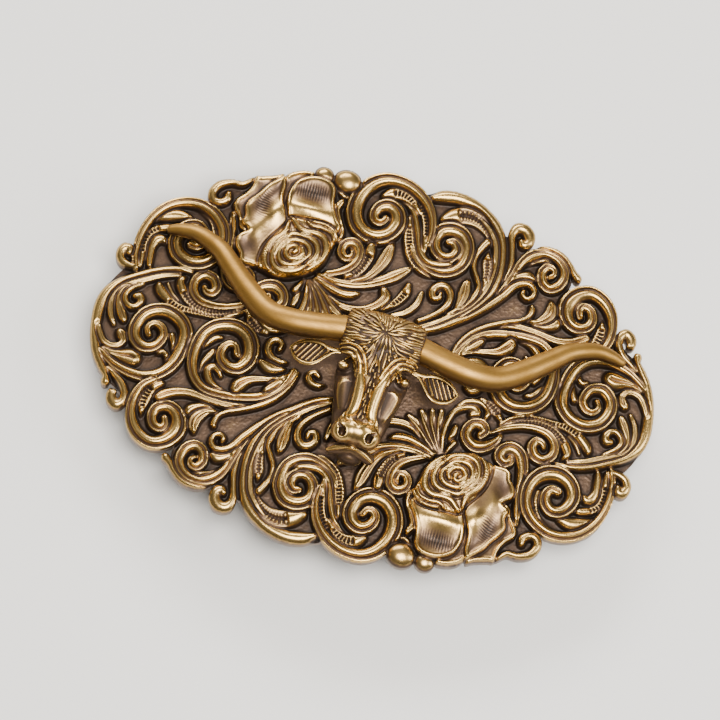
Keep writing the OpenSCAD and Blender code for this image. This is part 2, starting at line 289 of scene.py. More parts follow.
# Every stroke of the lower half, as kind, height and 'x y half-width' triples in millimetres.
STROKES = [
    # left end: the rim and what grows from it
    ("plain", 1.3, "-34.2 7.1 .3, -37 7 .45, -40 5.9 .5, -42.7 4.3 .55, -45.3 2.4 .65, -47 0 .8,"
     "-47.6 -2.6 .8, -47.4 -5.5 .75, -46.8 -8.3 .7, -45.7 -10.9 .65, -44.3 -12.9 .6, -43.2 -14.3 .45,"
     "-42.8 -15.5 .65"),
    ("leaf", 1.2, "-47.2 -5.2 .25, -46.4 -7 .45, -45.2 -8.6 .5, -43.8 -9.1 .5, -42.6 -8.8 .5,"
     "-42 -7.8 .55, -42.5 -6.8 .75, -42.9 -6.4 .6"),
    ("leaf", 1.1, "-36 6.2 .3, -39 5.1 .45, -41.8 3.5 .5, -44.3 1.9 .45, -45.6 0 .45, -45.9 -1.8 .5,"
     "-45.4 -3.6 .45, -44.5 -5 .35, -44.2 -5.4 .25"),
    ("leaf", 1.2, "-43 2 .3, -44.3 1.3 .4, -44.8 -.4 .45, -44.3 -2 .6, -43.5 -3.3 .7, -42.9 -4.1 .5"),
    ("plain", 1.2, "-41.5 2.9 .25, -43.2 1.6 .4, -43.9 .3 .45, -43.6 -.8 .5, -42.6 -1.5 .5,"
     "-41.6 -1.2 .55, -41.1 -.2 .6, -41.5 .6 .65, -42.2 .5 .5"),
    ("leaf", 1.3, "-45 -9.9 .3, -43.4 -10.4 .5, -41.8 -10.4 .8, -40.2 -10.2 1.2, -39.4 -10.3 1.1"),
    # big scroll at the left end
    ("plain", 1.1, "-33 -9.4 .3, -33 -7.8 .4, -33.6 -6 .5, -34.3 -4.7 .55"),
    ("plain", 1.1, "-34.1 -10.9 .3, -33.7 -9.8 .4, -34 -8.6 .45, -34.9 -7.9 .45, -35.6 -8.2 .4"),
    ("band", 1.45, "-45.3 -10.4 .35, -43.5 -11.6 .5, -41.5 -12.5 .6, -39 -13 .7, -36.8 -12.9 .8,"
     "-34.6 -11.9 .85, -33 -10 .9, -32.2 -7.5 .95, -31.95 -5 .95, -32.4 -3 .95, -34.2 -1.3 .95,"
     "-37 -.7 .95, -39.5 -1.9 .95, -40.7 -4.4 .9, -40.3 -6.6 .85, -38.6 -7.9 .85, -36.6 -7.3 .75,"
     "-35.7 -5.3 .65, -36.4 -3.8 .6, -37.8 -3.5 .5, -38.6 -4.5 .45, -38.1 -5.6 .4"),
    # curl on the rim, lower left
    ("plain", 1.2, "-43.2 -13 .3, -41.8 -13.9 .45, -40.3 -14.9 .55, -39.2 -16.4 .6, -39 -17.9 .7,"
     "-39.9 -18.9 .75, -40.9 -18.2 .8, -41.2 -17.2 .65, -40.8 -16.9 .4"),
    # scroll on the lower left rim
    ("ladder", 1.2, "-33.6 -13.4 .5, -35 -14.6 .8, -35.6 -16.3 .95, -35.6 -18 .7, -35.3 -19.8 .15"),
    ("band", 1.45, "-34.9 -13 .5, -36.5 -14.5 .6, -37.3 -16.6 .65, -37.3 -19 .7, -36.4 -21.4 .85,"
     "-34.6 -23.2 .95, -32.3 -23.9 1, -30.2 -23 1.1, -28.9 -21.2 1.2, -28.8 -19.2 1.1, -29.8 -17.6 .95,"
     "-31.4 -17 .85, -33 -17.7 .8, -33.5 -19.2 .75, -32.8 -20.7 .7, -31.6 -21 .65, -31.1 -20.2 .55,"
     "-31.4 -19.2 .5"),
    # leaves between the two
    ("plain", 1.1, "-24 -15.4 .35, -26 -15.4 .55, -27.6 -16.3 .75, -27.8 -16.9 .6"),
    ("flute", 1.2, "-22.8 -15.6 .3, -24.7 -16 .5, -26.1 -17.4 .85, -26.4 -18.8 .8, -25.9 -20.2 .3"),
    ("leaf", 1.3, "-15.5 -11.2 .3, -18 -13.2 .5, -21.5 -14 .55, -25 -14 .55, -28.5 -13.7 .65,"
     "-31 -14.2 .75, -32.6 -15.1 .8, -33.4 -15.8 .6"),
    ("plain", 1.2, "-12 -5.2 .35, -12.7 -7.8 .45, -14.2 -10.3 .5, -16.5 -12.4 .5, -19.5 -14.2 .45,"
     "-21.8 -15.3 .4, -22.9 -16.4 .45, -23.2 -17.6 .5, -23 -18.2 .4"),
    # scroll under the left horn
    ("plain", 1.0, "-26.2 -2.7 .35, -27.3 -3.2 .5, -28.3 -4.4 .5, -28.8 -5.2 .3"),
    ("plain", 1.0, "-28 -9.5 .2, -28 -8 .4, -27.4 -6.6 .55, -26.8 -5.4 .45"),
    ("plain", 1.1, "-21 -11.9 .25, -23.8 -11.8 .45, -25.8 -10.8 .6, -26.8 -9.2 .6, -26.3 -8.1 .55,"
     "-25.3 -8.3 .5, -24.3 -9.4 .3"),
    ("band", 1.45, "-12.8 -5 .45, -13.6 -7.4 .5, -15.2 -9.6 .55, -17.5 -11.2 .6, -20.5 -12.1 .6,"
     "-23.5 -12.5 .6, -26.5 -12.3 .6, -28.6 -10.7 .65, -29.7 -8.3 .75, -29.9 -5.5 .85, -29.2 -2.8 .9,"
     "-27.4 -.9 .95, -24.6 -.1 1, -22.2 -.9 1.05, -20.8 -2.9 1.1, -20.6 -5.2 1.1, -21.7 -7.1 1,"
     "-23.4 -7.5 .85, -25 -6.5 .75, -25.4 -4.9 .65, -24.6 -3.6 .55, -23.5 -3.6 .5, -22.8 -4.9 .55"),
    ("leaf", 1.3, "-13.4 -6 .3, -15 -7.3 .45, -17.3 -7.9 .5, -19.4 -8.6 .7, -20.9 -9.9 1, -21.3 -10.8 .8"),
    ("plain", 1.1, "-13.8 -6.8 .25, -14.9 -7.9 .55, -16 -9.1 .6, -16.7 -9.9 .3"),
    ("plain", 1.2, "-14.5 -4 .35, -15.5 -4.1 .5, -17 -3.8 .6, -18 -2.7 .6, -18 -1.2 .55, -17 -.5 .5,"
     "-16 -1 .45, -16.1 -2.1 .4"),
    ("plain", 1.1, "-14.3 -5.2 .3, -15.6 -5.6 .6, -17 -5.6 .85, -18.3 -5.1 .6, -18.8 -4.9 .3"),
    ("plain", 1.1, "-7.2 -6 .3, -8.4 -6.4 .5, -9.8 -5.9 .55, -10.1 -4.8 .5, -9.2 -4.2 .45, -8.4 -4.8 .35"),
    # trunk of stems from the head down to the rim
    ("plain", 1.2, "-14.6 -14.4 .3, -15.9 -16.6 .4, -16.8 -19 .45, -17 -21.5 .4, -16.9 -24 .35,"
     "-16.6 -26.5 .25"),
    ("plain", 1.2, "-17.3 -18.6 .35, -17.6 -21.5 .5, -17.5 -25 .5, -16.9 -27.5 .5, -16.4 -29.5 .6,"
     "-16.9 -31 .8, -18.2 -31.3 .85, -19.3 -30.4 .85, -19.5 -29.2 .75, -18.8 -28.5 .7, -18.2 -28.9 .5"),
    ("plain", 1.2, "-29.3 -25.6 .6, -28.3 -26.4 .5, -27.3 -27.5 .45, -25.8 -28.6 .5, -23.8 -29.1 .5,"
     "-21.9 -28.8 .4, -20.6 -27.9 .2"),
    ("plain", 1.1, "-19.2 -24 .2, -19.9 -25.4 .45, -21.3 -26.5 .55, -23 -26.9 .45, -24.4 -26.8 .2"),
    ("band", 1.4, "-15.6 -15.6 .35, -16.9 -18 .5, -18 -20.8 .55, -18.7 -23 .6, -19.1 -24.8 .6,"
     "-20 -26.4 .75, -21.4 -27.6 .75, -23 -28.1 .55, -25 -27.7 .6, -26.5 -26.4 .65, -26.9 -24.8 .7,"
     "-26.3 -23.1 .75, -25 -22.3 .75, -23.6 -23 .75, -23.1 -24.6 .7, -23.7 -25.8 .65, -24.8 -25.8 .5,"
     "-25.1 -24.9 .4, -24.5 -24.3 .35"),
    ("plain", 1.1, "-18.6 -21.8 .3, -19.6 -22.8 .6, -20.9 -23.3 .8, -21.8 -23.1 .5"),
    ("plain", 1.3, "-5 -7.8 .35, -8 -9.2 .55, -11 -11.6 .65, -13.6 -13.8 .65, -15.9 -16.2 .65,"
     "-17.8 -18.6 .6, -19 -20.6 .6, -20.2 -21.6 .55, -21.6 -21.9 .55, -22.6 -21.1 .5, -22.6 -20 .45,"
     "-21.8 -19.3 .45, -20.9 -19.7 .45, -20.9 -20.5 .35"),
    # rim along the bottom and the leaf inside it
    ("plain", 1.3, "-10.8 -12.2 .3, -12.9 -14.3 .5, -14.5 -16.6 .6, -15.6 -19 .7, -16 -22 .7,"
     "-15.8 -25 .65, -15 -27.9 .65, -13.4 -30.2 .75, -11 -31.9 .8, -8.5 -32.9 .85, -5.8 -33.2 .9,"
     "-3.3 -32.7 .9, -1.5 -31.8 .5"),
    ("beads", 1.25, "-14.3 -26 .3, -12.6 -28.6 .6, -10.4 -30.2 .95, -8.2 -30.6 1.2, -6.2 -29.9 1.2,"
     "-4.8 -28.9 .9, -4.4 -28.5 .5"),
    ("leaf", 1.2, "-5.1 -8.6 .3, -7.8 -10.3 .4, -10.2 -12.4 .45, -12.2 -14.6 .5, -13.8 -17 .55,"
     "-14.6 -19.5 .6, -14.9 -22.5 .55, -14.7 -25 .45, -13.9 -27.4 .45, -12.4 -29.3 .4, -10.6 -30.7 .25"),
    ("beads", 1.1, "-13.9 -19.5 .25, -14 -21.5 .5, -13.6 -23.5 .65, -13.3 -25.2 .25"),
    ("plain", 1.2, "-9.5 -12.5 .3, -11.9 -14.9 .4, -13 -17 .5, -13.3 -18.8 .4, -12.6 -20.2 .4,"
     "-11.6 -21.9 .4, -11.4 -24 .45, -12 -25.8 .55, -12.6 -27 .6"),
    ("flute", 1.2, "-10.6 -13.5 .3, -11 -15.2 .6, -11.2 -16.9 .85, -11.2 -18.4 .65, -11.3 -19.8 .15"),
    ("plain", 1.2, "-5 -9.8 .4, -6.8 -11.2 .45, -8.3 -12.8 .5, -9.1 -14.4 .55, -9 -16 .6, -8 -17.1 .65,"
     "-6.7 -16.9 .65, -5.9 -15.7 .6, -6.4 -14.5 .55, -7.3 -14.8 .45, -7.4 -15.7 .35"),
    # second scroll from the left along the bottom, and the leaves that lead to it
    ("ladder", 1.2, "1.15 -28.7 .15, 1.1 -26.8 .5, .7 -24.6 .75, 0 -22.4 .85, -1.4 -20.2 .9,"
     "-3.4 -18.9 .8, -5.4 -18.6 .5"),
    ("band", 1.45, "-.7 -22.3 .5, -1.7 -21 .75, -3.4 -19.9 .85, -5.8 -19.3 .9, -7.9 -19.8 .8,"
     "-9.4 -21.3 .8, -9.9 -23.4 .85, -9.6 -25.4 .9, -8.3 -27 1, -6.4 -27.4 1.05, -4.6 -26.6 1,"
     "-3.9 -24.9 .85, -4.4 -23.1 .8, -5.8 -22.1 .75, -7.4 -22.5 .8, -8 -23.9 .8, -7.2 -25 .7,"
     "-6.3 -24.9 .5"),
    ("plain", 1.2, "-8 -22.2 .15, -7.4 -21.1 .4, -5.5 -20.5 .55, -3.6 -20.6 .55, -2.1 -21.8 .55,"
     "-1.2 -23.8 .5, -.4 -25.8 .5, .6 -27.8 .45, 2 -29.4 .35, 3.4 -29.9 .2"),
    # biggest scroll, bottom middle
    ("ladder", 1.2, "-2.7 -21.8 .35, -2.4 -24 .6, -2 -26.4 .65, -1 -28.6 .65, .5 -30.4 .5, 2.4 -31.8 .45,"
     "4 -32.1 .2"),
    ("ladder", 1.2, "-.2 -28.4 .3, 1.7 -30.2 .6, 3.6 -30.9 .85, 5.3 -30.6 .9, 6.5 -29.7 .5"),
    ("band", 1.5, "-3 -23.5 .4, -3 -26 .5, -2.3 -28.5 .6, -.8 -30.6 .7, 1.4 -32.2 .8, 4 -33 .85,"
     "6.8 -32.8 .95, 9 -31.4 1.05, 10.5 -29 1.1, 10.9 -26.3 1.15, 10.1 -23.9 1.15, 8.2 -22.3 1.15,"
     "5.8 -22.1 1.15, 3.9 -23.3 1.1, 3 -25.5 1.1, 3.6 -27.4 1.05, 5.2 -28.2 1, 6.7 -27.5 .9, 7.3 -26 .75,"
     "6.8 -25 .65, 5.8 -24.9 .55, 5.2 -25.8 .5"),
    # leaves and fan between the head and the rose
    ("flute", 1.25, "13.5 -12.8 .4, 10.5 -12.4 .55, 7.5 -12.7 .6, 5 -13.6 .65, 2.8 -14.9 .75,"
     ".8 -16.5 .85, -.9 -18.1 .5"),
    ("flute", 1.2, "8 -13.2 .35, 5.6 -14.6 .5, 4.2 -16.6 .7, 3.4 -18.8 .9, 3.1 -20.5 .7, 2.7 -22.1 .2"),
    ("beads", 1.2, "9 -13.8 .4, 7.3 -15.3 .65, 6.5 -17.2 .75, 6.2 -19 .8, 6.2 -20.3 .65"),
    ("band", 1.3, "12.3 -13.3 .4, 10.3 -14.3 .55, 8.6 -15.8 .6, 7.9 -17.6 .6, 8.2 -19.3 .7, 9.4 -20 .75,"
     "10.6 -19.4 .7, 10.9 -18.1 .65, 10.2 -17.1 .6, 9.2 -17.2 .5, 8.9 -18.1 .45, 9.3 -18.7 .3"),
    ("leaf", 1.2, "-.5 -9.3 .4, -2.6 -10.6 .5, -3.9 -12.5 .55, -4.3 -14.8 .35"),
    ("ladder", 1.2, "1.3 -10 .35, -.6 -12 .6, -1.6 -14 .7, -1.8 -15.5 .4"),
    ("leaf", 1.2, "14 -11.8 .3, 11.8 -9.8 .5, 9.3 -8.6 .55, 6.6 -8.4 .6, 4 -9.2 .65, 2.2 -10.7 .75,"
     "1.5 -12.3 .8, 2 -13.2 .6"),
    ("plain", 1.1, "13.8 -12.1 .3, 11.4 -11.2 .5, 9 -10.7 .6, 7.2 -10.9 .6, 6 -11.5 .3"),
    ("leaf", 0.9, "14.6 -11.7 .2, 12.5 -10.1 .5, 10.2 -8 .7, 8 -6.8 .4"),
    ("leaf", 0.9, "14.8 -11.6 .2, 12.9 -9.5 .5, 11.1 -7 .72, 9.9 -5.4 .45"),
    ("leaf", 0.95, "15 -11.5 .2, 13.5 -9.1 .45, 12.3 -6.7 .65, 11.6 -4.8 .45"),
    ("leaf", 1.0, "15.1 -11.4 .2, 14.1 -8.9 .4, 13.4 -6.5 .55, 13.1 -4.4 .45"),
    ("plain", 1.1, "15.2 -11.3 .15, 14.5 -8.8 .4, 14.5 -6.2 .5, 15.1 -4 .5, 16.5 -2.6 .55, 18.2 -2.1 .6,"
     "19 -2.9 .6, 18.2 -3.4 .55"),
    ("plain", 1.0, "15.5 -2.6 .3, 16.8 -1.4 .45, 18.6 -.9 .5, 20.2 -1.2 .5, 20.8 -2.3 .45, 20.5 -3.6 .3"),
    ("beads", 1.0, "18.9 -.1 .25, 20.6 -.6 .5, 22.2 -1.7 .6, 23.3 -3 .3"),
    ("plain", 1.0, "15.7 -8.8 .3, 16 -7.5 .55, 16.2 -6.3 .45"),
    ("plain", 1.0, "15.6 -11.5 .2, 16.1 -10.2 .4, 16.6 -9 .5"),
    # small scrolls right of the rose's head
    ("band", 1.3, "23.9 -5.3 .3, 23.2 -6.8 .6, 21.7 -8.2 .85, 20 -8.6 .95, 18.5 -7.7 .85, 18.1 -6.2 .8,"
     "18.9 -4.9 .75, 20.2 -4.6 .8, 21 -5.4 .75, 20.6 -6.4 .6"),
    ("ladder", 1.2, "23.3 -3.5 .3, 25 -1.9 .4, 28 -.8 .45, 31 -.5 .45, 34 -.5 .5, 36 -1 .6,"
     "37.8 -2.1 .75, 38.8 -3.1 .65, 38.9 -3.9 .2"),
    ("beads", 1.2, "23.3 -4.2 .3, 25.5 -2.6 .4, 28.5 -1.4 .45, 31 -1.3 .5, 33 -2 .55, 34.7 -3.5 .7,"
     "35.6 -5 .6, 35 -6.1 .25"),
    ("plain", 1.0, "35 -1.8 .2, 36.5 -2.8 .3, 37.6 -4.2 .25"),
    ("band", 1.35, "22.2 -5.4 .3, 24.3 -4 .45, 27 -2.8 .5, 29.8 -2.4 .55, 31.9 -2.9 .6, 33.1 -4.3 .65,"
     "33.1 -6.1 .7, 31.9 -7.3 .75, 30.3 -7 .8, 29.5 -5.7 .75, 29.9 -4.5 .65, 30.9 -4.5 .5, 31.5 -5.2 .35"),
    ("band", 1.3, "30.5 -19.5 .3, 29.9 -17 .55, 29.5 -14.5 .6, 29.3 -12 .75, 28.9 -9.6 .85, 27.9 -7.6 .9,"
     "26.3 -6.9 .9, 24.9 -7.7 .85, 24.6 -9 .8, 25.6 -9.8 .75, 26.5 -9.4 .6, 26.4 -8.7 .45"),
    # right end: big scroll, its leaves and the curls on the rim
    ("plain", 1.1, "41.5 -6.4 .4, 41.9 -8 .6, 42 -9.8 .6, 41.6 -11.2 .75, 40.8 -11.6 .65, 40.3 -11.3 .45"),
    ("ladder", 1.1, "43.1 -6 .4, 43.3 -8 .55, 43.6 -10 .55, 43.2 -11.9 .5, 42 -13.2 .55, 40.6 -13.8 .6,"
     "39.7 -14 .45"),
    ("plain", 1.2, "43.9 -13.6 .3, 42.8 -15 .55, 41 -16 .9, 39.2 -16.5 .9, 37.6 -16.4 .6, 36.7 -16.2 .3"),
    ("ladder", 1.1, "32.6 -13 .5, 32.4 -14.6 .6, 32.8 -16.2 .5, 34.1 -17.6 .4, 36 -18.4 .3, 38 -18.4 .15"),
    ("band", 1.45, "43.6 -5.2 .4, 44.4 -7.5 .5, 44.6 -10 .55, 44.2 -13 .6, 43 -15.8 .65, 41 -18 .7,"
     "38.3 -19.2 .75, 35.5 -19.2 .8, 32.8 -17.9 .85, 31.1 -15.7 .85, 30.7 -13 .9, 31.5 -10.7 1,"
     "33.2 -9.2 1.1, 35.4 -8.8 1.1, 37.4 -9.7 1.05, 38.5 -11.5 1, 38.3 -13.5 .95, 37.2 -15 .9,"
     "35.6 -15.4 .9, 34.3 -14.4 .85, 34 -12.9 .75, 34.7 -11.9 .7, 35.7 -11.9 .65"),
    ("plain", 1.2, "43.6 -5.6 .4, 45 -5.6 .55, 46.3 -6.1 .62, 46.9 -7.3 .68, 46.5 -8.4 .74, 45.7 -8.5 .7,"
     "45.5 -7.8 .5"),
    ("plain", 1.2, "28.9 -26.3 .3, 30.3 -24.9 .45, 32.2 -24.7 .5, 34 -23.8 .6, 34.9 -22.2 .65,"
     "34.4 -20.9 .65, 33.2 -20.7 .65, 32.2 -21.5 .65, 32.2 -22.5 .5"),
]

# The ground between the scrolls: an outline of the lower half, and discs (x, y, radius) on its edge.
GROUND = [(-46, 0), (-43, -11), (-42.6, -15), (-39, -17), (-30, -22), (-25, -26), (-18, -28.5),
          (-10, -31), (4, -31), (12, -29), (20, -27), (27, -25), (33, -21), (38, -17), (44, -8)]
LOBES = [(-33.9, -3.2, 14.2), (-32.8, -19.6, 5), (-23.7, -24.7, 4.8), (-5.8, -22.5, 11.3),
         (5.3, -27.2, 6.6), (20.5, -26.5, 3.7), (27, -24, 3.3), (37.5, -12.6, 7.2)]


def polygon_distance(gx, gy, corners):
    """Signed distance to a polygon, negative inside."""
    best = np.full(gx.shape, 1e9)
    inside = np.zeros(gx.shape, bool)
    for (ax, ay), (bx, by) in zip(corners, np.roll(corners, -1, 0)):
        t = np.clip(((gx - ax) * (bx - ax) + (gy - ay) * (by - ay)) / ((bx - ax)**2 + (by - ay)**2), 0, 1)
        best = np.minimum(best, np.hypot(gx - ax - t * (bx - ax), gy - ay - t * (by - ay)))
        crossing = (ay > gy) != (by > gy)
        if by != ay:
            inside ^= crossing & (gx < (bx - ax) * (gy - ay) / (by - ay) + ax)
    return np.where(inside, -best, best)


def petal(relief, outline, level, lip, dish, swell=(), hatch=None, roll=0.4):
    """Lays a petal over what is there: its edge rolls down, with a lip round a dished face, and
    swellings as (x, y, radius x, radius y, height). hatch is fine lines in an oval (x, y, radius x,
    radius y), with their direction and gap."""
    corners = catmull_rom(numbers(outline, 2), 0.3, closed=True)
    rows, cols = here = relief.around(*corners.T, 0.4)
    gx, gy = np.meshgrid(relief.x[cols], relief.y[rows])
    out = polygon_distance(gx, gy, corners)
    d = np.maximum(-out, 0)
    dished = dish * np.clip((d - 0.6) / 1.6, 0, 1)
    face = level * (0.45 + 0.55 * (1 - (1 - np.clip(d / roll, 0, 1)) ** 2) ** 0.6)
    face += lip * np.exp(-((d - 0.45) / 0.3) ** 2) - dished
    # painted light of the petal: a painted highlight along the lip and painted shade in the dished face;
    # swellings get a painted highlight and the hatch painted lines of light and shade
    tone = 0.4 * np.exp(-((d - 0.4) / 0.3) ** 2) - 0.06 - 0.9 * dished
    for x, y, rx, ry, tall in swell:
        rounded = tall * np.exp(-((gx - x) / rx) ** 2 - ((gy - y) / ry) ** 2) * np.clip(d / 0.7, 0, 1)
        face += 0.9 * rounded
        tone += 0.4 * rounded
    if hatch:
        x, y, rx, ry, dx, dy, gap = hatch
        wavy = 0.8 * np.sin(gx * 1.7 + gy * 1.3)
        line = np.cos(2 * np.pi * ((gx - x) * dx + (gy - y) * dy) / gap + wavy)
        where = np.clip(1.6 - np.hypot((gx - x) / rx, (gy - y) / ry) * 1.5, 0, 1) * np.clip(d / 0.5, 0, 1)
        face += 0.13 * line * where
        tone += (0.28 * line - 0.12) * where
    below = relief.height[here]
    moat = np.clip(1.1 - np.maximum(out, 0) / 0.2, 0, 1)
    below = np.maximum(below - 0.5 * moat, 0.6 * below)
    relief.height[here] = np.where(out < 0, np.maximum(face, 0.1), below)
    relief.tone[here] = np.where(out < 0, tone, relief.tone[here])
    relief.outside[here] = np.minimum(relief.outside[here], out)


def rose(relief):
    """The rose of the lower half: outer leaves, big petals, then the furled bloom on top."""
    petal(relief, "27.5 -16.6, 28.9 -17.3, 29.4 -18.5, 30.4 -19.8, 31 -20.9, 30.7 -22.2, 29.6 -23.5,"
          "28.9 -25, 28.6 -27, 27.8 -27.2, 25.5 -28, 23.9 -28.5, 24.5 -24, 26 -19", 1.0, 0.35, 0.2)
    petal(relief, "12.3 -18.8, 11.2 -20.3, 11.4 -21.8, 12.4 -23.6, 13 -25, 12.6 -26.4, 13.2 -27.1,"
          "14 -26.4, 14.8 -24.5, 15 -21", 1.35, 0.35, 0.2)
    relief.lay("plain", 1.1, "12.3 -27.7 .35, 13.4 -27.8 .5, 14.6 -28.7 .3")
    relief.ball(13.3, -30.5, 2.5, 2.15, 1.6)
    relief.ball(17.4, -30.4, 1.75, 1.65, 1.3)
    petal(relief, "22 -22.5, 23.1 -23.9, 23.7 -25.8, 24 -27.3, 23.5 -28.7, 22.2 -29.7, 20.6 -30.3,"
          "19 -30.1, 20 -27, 21 -24", 1.25, 0.4, 0.3)
    petal(relief, "19.6 -20.5, 19.8 -18, 20.5 -15, 21.6 -12.5, 23.4 -11, 25.4 -10.7, 26.6 -10.8,"
          "27.3 -11.4, 27.6 -12.5, 28.4 -13.4, 28.9 -14.7, 28.5 -16, 27.4 -17, 28.2 -17.4, 28.8 -18.2,"
          "28.5 -19.3, 29 -21, 28.5 -22.5, 27.4 -24, 26.4 -25.8, 24.9 -27.4, 23.8 -28.3, 23.1 -26.8,"
          "22.9 -24.4, 22 -22.6", 1.9, 0.25, 0.1,
          [(23.5, -21.2, 1.7, 2.1, 0.9), (25.6, -17.8, 1.3, 2.8, 0.45), (26.8, -13.9, 1.5, 2.4, -0.5),
           (26.2, -22.4, 1.5, 2.6, -0.7), (24.3, -25.4, 1, 1.8, -0.5)],
          (25.9, -22.2, 1.6, 3.4, 0.3, 0.95, 0.44), roll=0.6)
    petal(relief, "13 -19, 15 -18.4, 17 -18.2, 19.6 -18.6, 21.3 -20.6, 22.3 -22.8, 22.6 -25, 22.3 -26.6,"
          "21.6 -28.1, 20 -29.3, 18 -29.8, 16 -29.5, 14.8 -28.4, 14.4 -26.5, 14 -25, 13 -23.2, 12 -21.7",
          1.8, 0.35, 0.05, [(18.4, -23.1, 4.6, 1.5, 1.0), (18.4, -26.7, 3.4, 1.5, -0.9)],
          (18.4, -26.6, 4.2, 1.8, 1.0, 0.08, 0.46), roll=0.6)
    petal(relief, "15.4 -11.9, 14 -13.2, 13 -14.8, 12.6 -16.6, 12.3 -18.4, 11.9 -19.6, 13.2 -21.1,"
          "15.2 -21.7, 18 -21.5, 20.4 -21.3, 21 -20.8, 21.6 -19.3, 23 -17.1, 24 -14.9, 24.2 -12.9,"
          "23.9 -11, 22.6 -10.5, 20.5 -10, 18.2 -10.4, 16.6 -11.2", 2.1, 0, 0,
          [(18.3, -14.8, 4.4, 4.4, 0.6)], (23.6, -15, 1.1, 5.4, 0.35, 0.95, 0.42), roll=0.5)
    for text in (
        "21.1 -20.6 .2, 20.9 -18.6 .42, 21.4 -17.3 .5, 22.4 -16.2 .5, 23 -14.9 .5, 23.2 -13.3 .5,"
        "22.8 -11.8 .45, 21.9 -10.7 .3",
        "20.8 -21 .15, 19.9 -20.3 .4, 18.8 -19.4 .5, 17.5 -19.1 .5, 15.6 -19.3 .5, 14.2 -18.7 .52,"
        "13.5 -17.4 .55, 13.4 -15.8 .55, 14 -14.2 .5, 14.9 -13 .4, 15.6 -12.3 .25",
        "16.2 -12.9 .3, 17.1 -11.9 .48, 18.6 -11.3 .5, 20.2 -11.2 .5, 21.3 -11.8 .5, 21.9 -12.9 .5,"
        "22 -14.3 .5, 21.5 -15.8 .48, 20.5 -17.1 .45, 19.7 -18 .42, 18.2 -18.2 .42, 16.6 -18.1 .45,"
        "15.3 -17.4 .48, 14.7 -16.1 .5, 14.9 -14.7 .5, 15.7 -13.5 .4",
        "16.7 -14 .35, 17.5 -12.95 .45, 18.9 -12.3 .48, 20.1 -12.45 .48, 20.9 -13.3 .45, 21.1 -14.5 .45,"
        "20.6 -15.7 .45, 19.6 -16.8 .45, 18.3 -17.1 .42, 17 -16.9 .42, 16.1 -16.1 .42, 15.95 -15 .4,"
        "16.5 -14.2 .3",
        "17.4 -15.9 .3, 17 -14.9 .42, 17.6 -13.9 .42, 18.8 -13.5 .42, 19.7 -14 .42, 20 -14.9 .4,"
        "19.4 -15.8 .4, 18.5 -15.9 .35, 18.2 -15.2 .32, 18.6 -14.7 .3",
        "12.4 -18.5 .15, 13.3 -20 .32, 15 -20.5 .35, 16.8 -20.4 .35, 17.9 -20.9 .2",
        "12.2 -19.7 .1, 13.3 -20.9 .26, 15 -21.35 .28, 17 -21.2 .2",
    ):
        relief.ridge(text, 0.5, 0.5)


def flood(free, start):
    """The part of a mask that can be reached from another mask, up, down and sideways."""
    seen = start & free
    while True:
        wider = seen.copy()
        wider[1:] |= seen[:-1]
        wider[:-1] |= seen[1:]
        wider[:, 1:] |= seen[:, :-1]
        wider[:, :-1] |= seen[:, 1:]
        wider &= free
        if (wider == seen).all():
            return seen
        seen = wider


def ground_at(x):
    """Height of the ground between the scrolls."""
    return BEND_Z + np.sqrt((BACK_RADIUS + WEB) ** 2 - x**2)


def back_at(x):
    """Height of the plate's underside."""
    return BEND_Z + np.sqrt(BACK_RADIUS**2 - x**2)


def plate_relief():
    """The relief of the whole plate."""
    relief = Relief(half_x=49.5, half_y=35.5, pitch=0.12)
    for kind, height, text in STROKES:
        relief.lay(kind, height * 1.15, text, wider=1.42 if kind == "band" else 1.38)
    rose(relief)
    relief.half_turned()
    return relief


def plate_outline(relief, gx, gy):
    """Distance outside the plate's outline, and the mask of the grid points inside it."""
    edge = polygon_distance(gx, gy, GROUND + [(-x, -y) for x, y in GROUND])
    for x, y, r in LOBES:
        for side in (1, -1):
            edge = np.minimum(edge, np.hypot(gx - side * x, gy - side * y) - r)
    edge = np.minimum(edge, relief.outside)
    border, centre = np.zeros((2, *edge.shape), bool)
    border[0] = border[-1] = border[:, 0] = border[:, -1] = True
    centre[len(relief.y) // 2, len(relief.x) // 2] = True
    return edge, flood(~flood(edge > 0, border), centre)


def plate_surface(relief):
    """Heights with the grain of the casting, and how brightly the finish is rubbed, darker on steep flanks
    and with the petals' painted highlights and painted shade.
    """
    height = blur(relief.height, 1.0)
    grain = blur(np.random.default_rng(7).standard_normal(height.shape), 0.9)
    grain /= grain.std()
    low = np.clip(1 - height / 0.35, 0, 1)
    height = height + low * 0.011 * grain + (1 - low) * 0.003 * grain
    rubbed = 0.65 * np.clip((height - blur(height, 3)) * 1.5, -1, 1)
    rubbed += 0.35 * np.clip((height - blur(height, 8)) * 0.9, -1, 1)
    slope = np.hypot(*np.gradient(height, relief.pitch))
    # the brightness adds the petals' painted light to the rubbed patina
    return height, rubbed + relief.tone - 0.45 * np.clip((slope - 1.1) / 1.4, 0, 1)


def cells_inside(inside):
    """The grid cells with four corners inside, and the corners that they use, without the points
    where their outline would touch itself."""
    while True:
        cell = inside[:-1, :-1] & inside[1:, :-1] & inside[:-1, 1:] & inside[1:, 1:]
        pad = np.pad(cell, 1)
        a, b, c, d = pad[:-1, :-1], pad[:-1, 1:], pad[1:, :-1], pad[1:, 1:]
        pinch = (a & d & ~b & ~c) | (b & c & ~a & ~d)
        if not pinch.any():
            return cell, a | b | c | d
        inside = inside & ~pinch


def outline_of(quads):
    """The points along the open edge of quads, in order."""
    sides = np.concatenate([quads[:, [k, (k + 1) % 4]] for k in range(4)]).astype(np.int64)
    base = quads.max() + 1
    rim = sides[~np.isin(sides @ (base, 1), sides @ (1, base))]
    after = dict(rim.tolist())
    loop = [rim[0, 0]]
    while after[loop[-1]] != loop[0]:
        loop.append(after[loop[-1]])
    return np.array(loop)


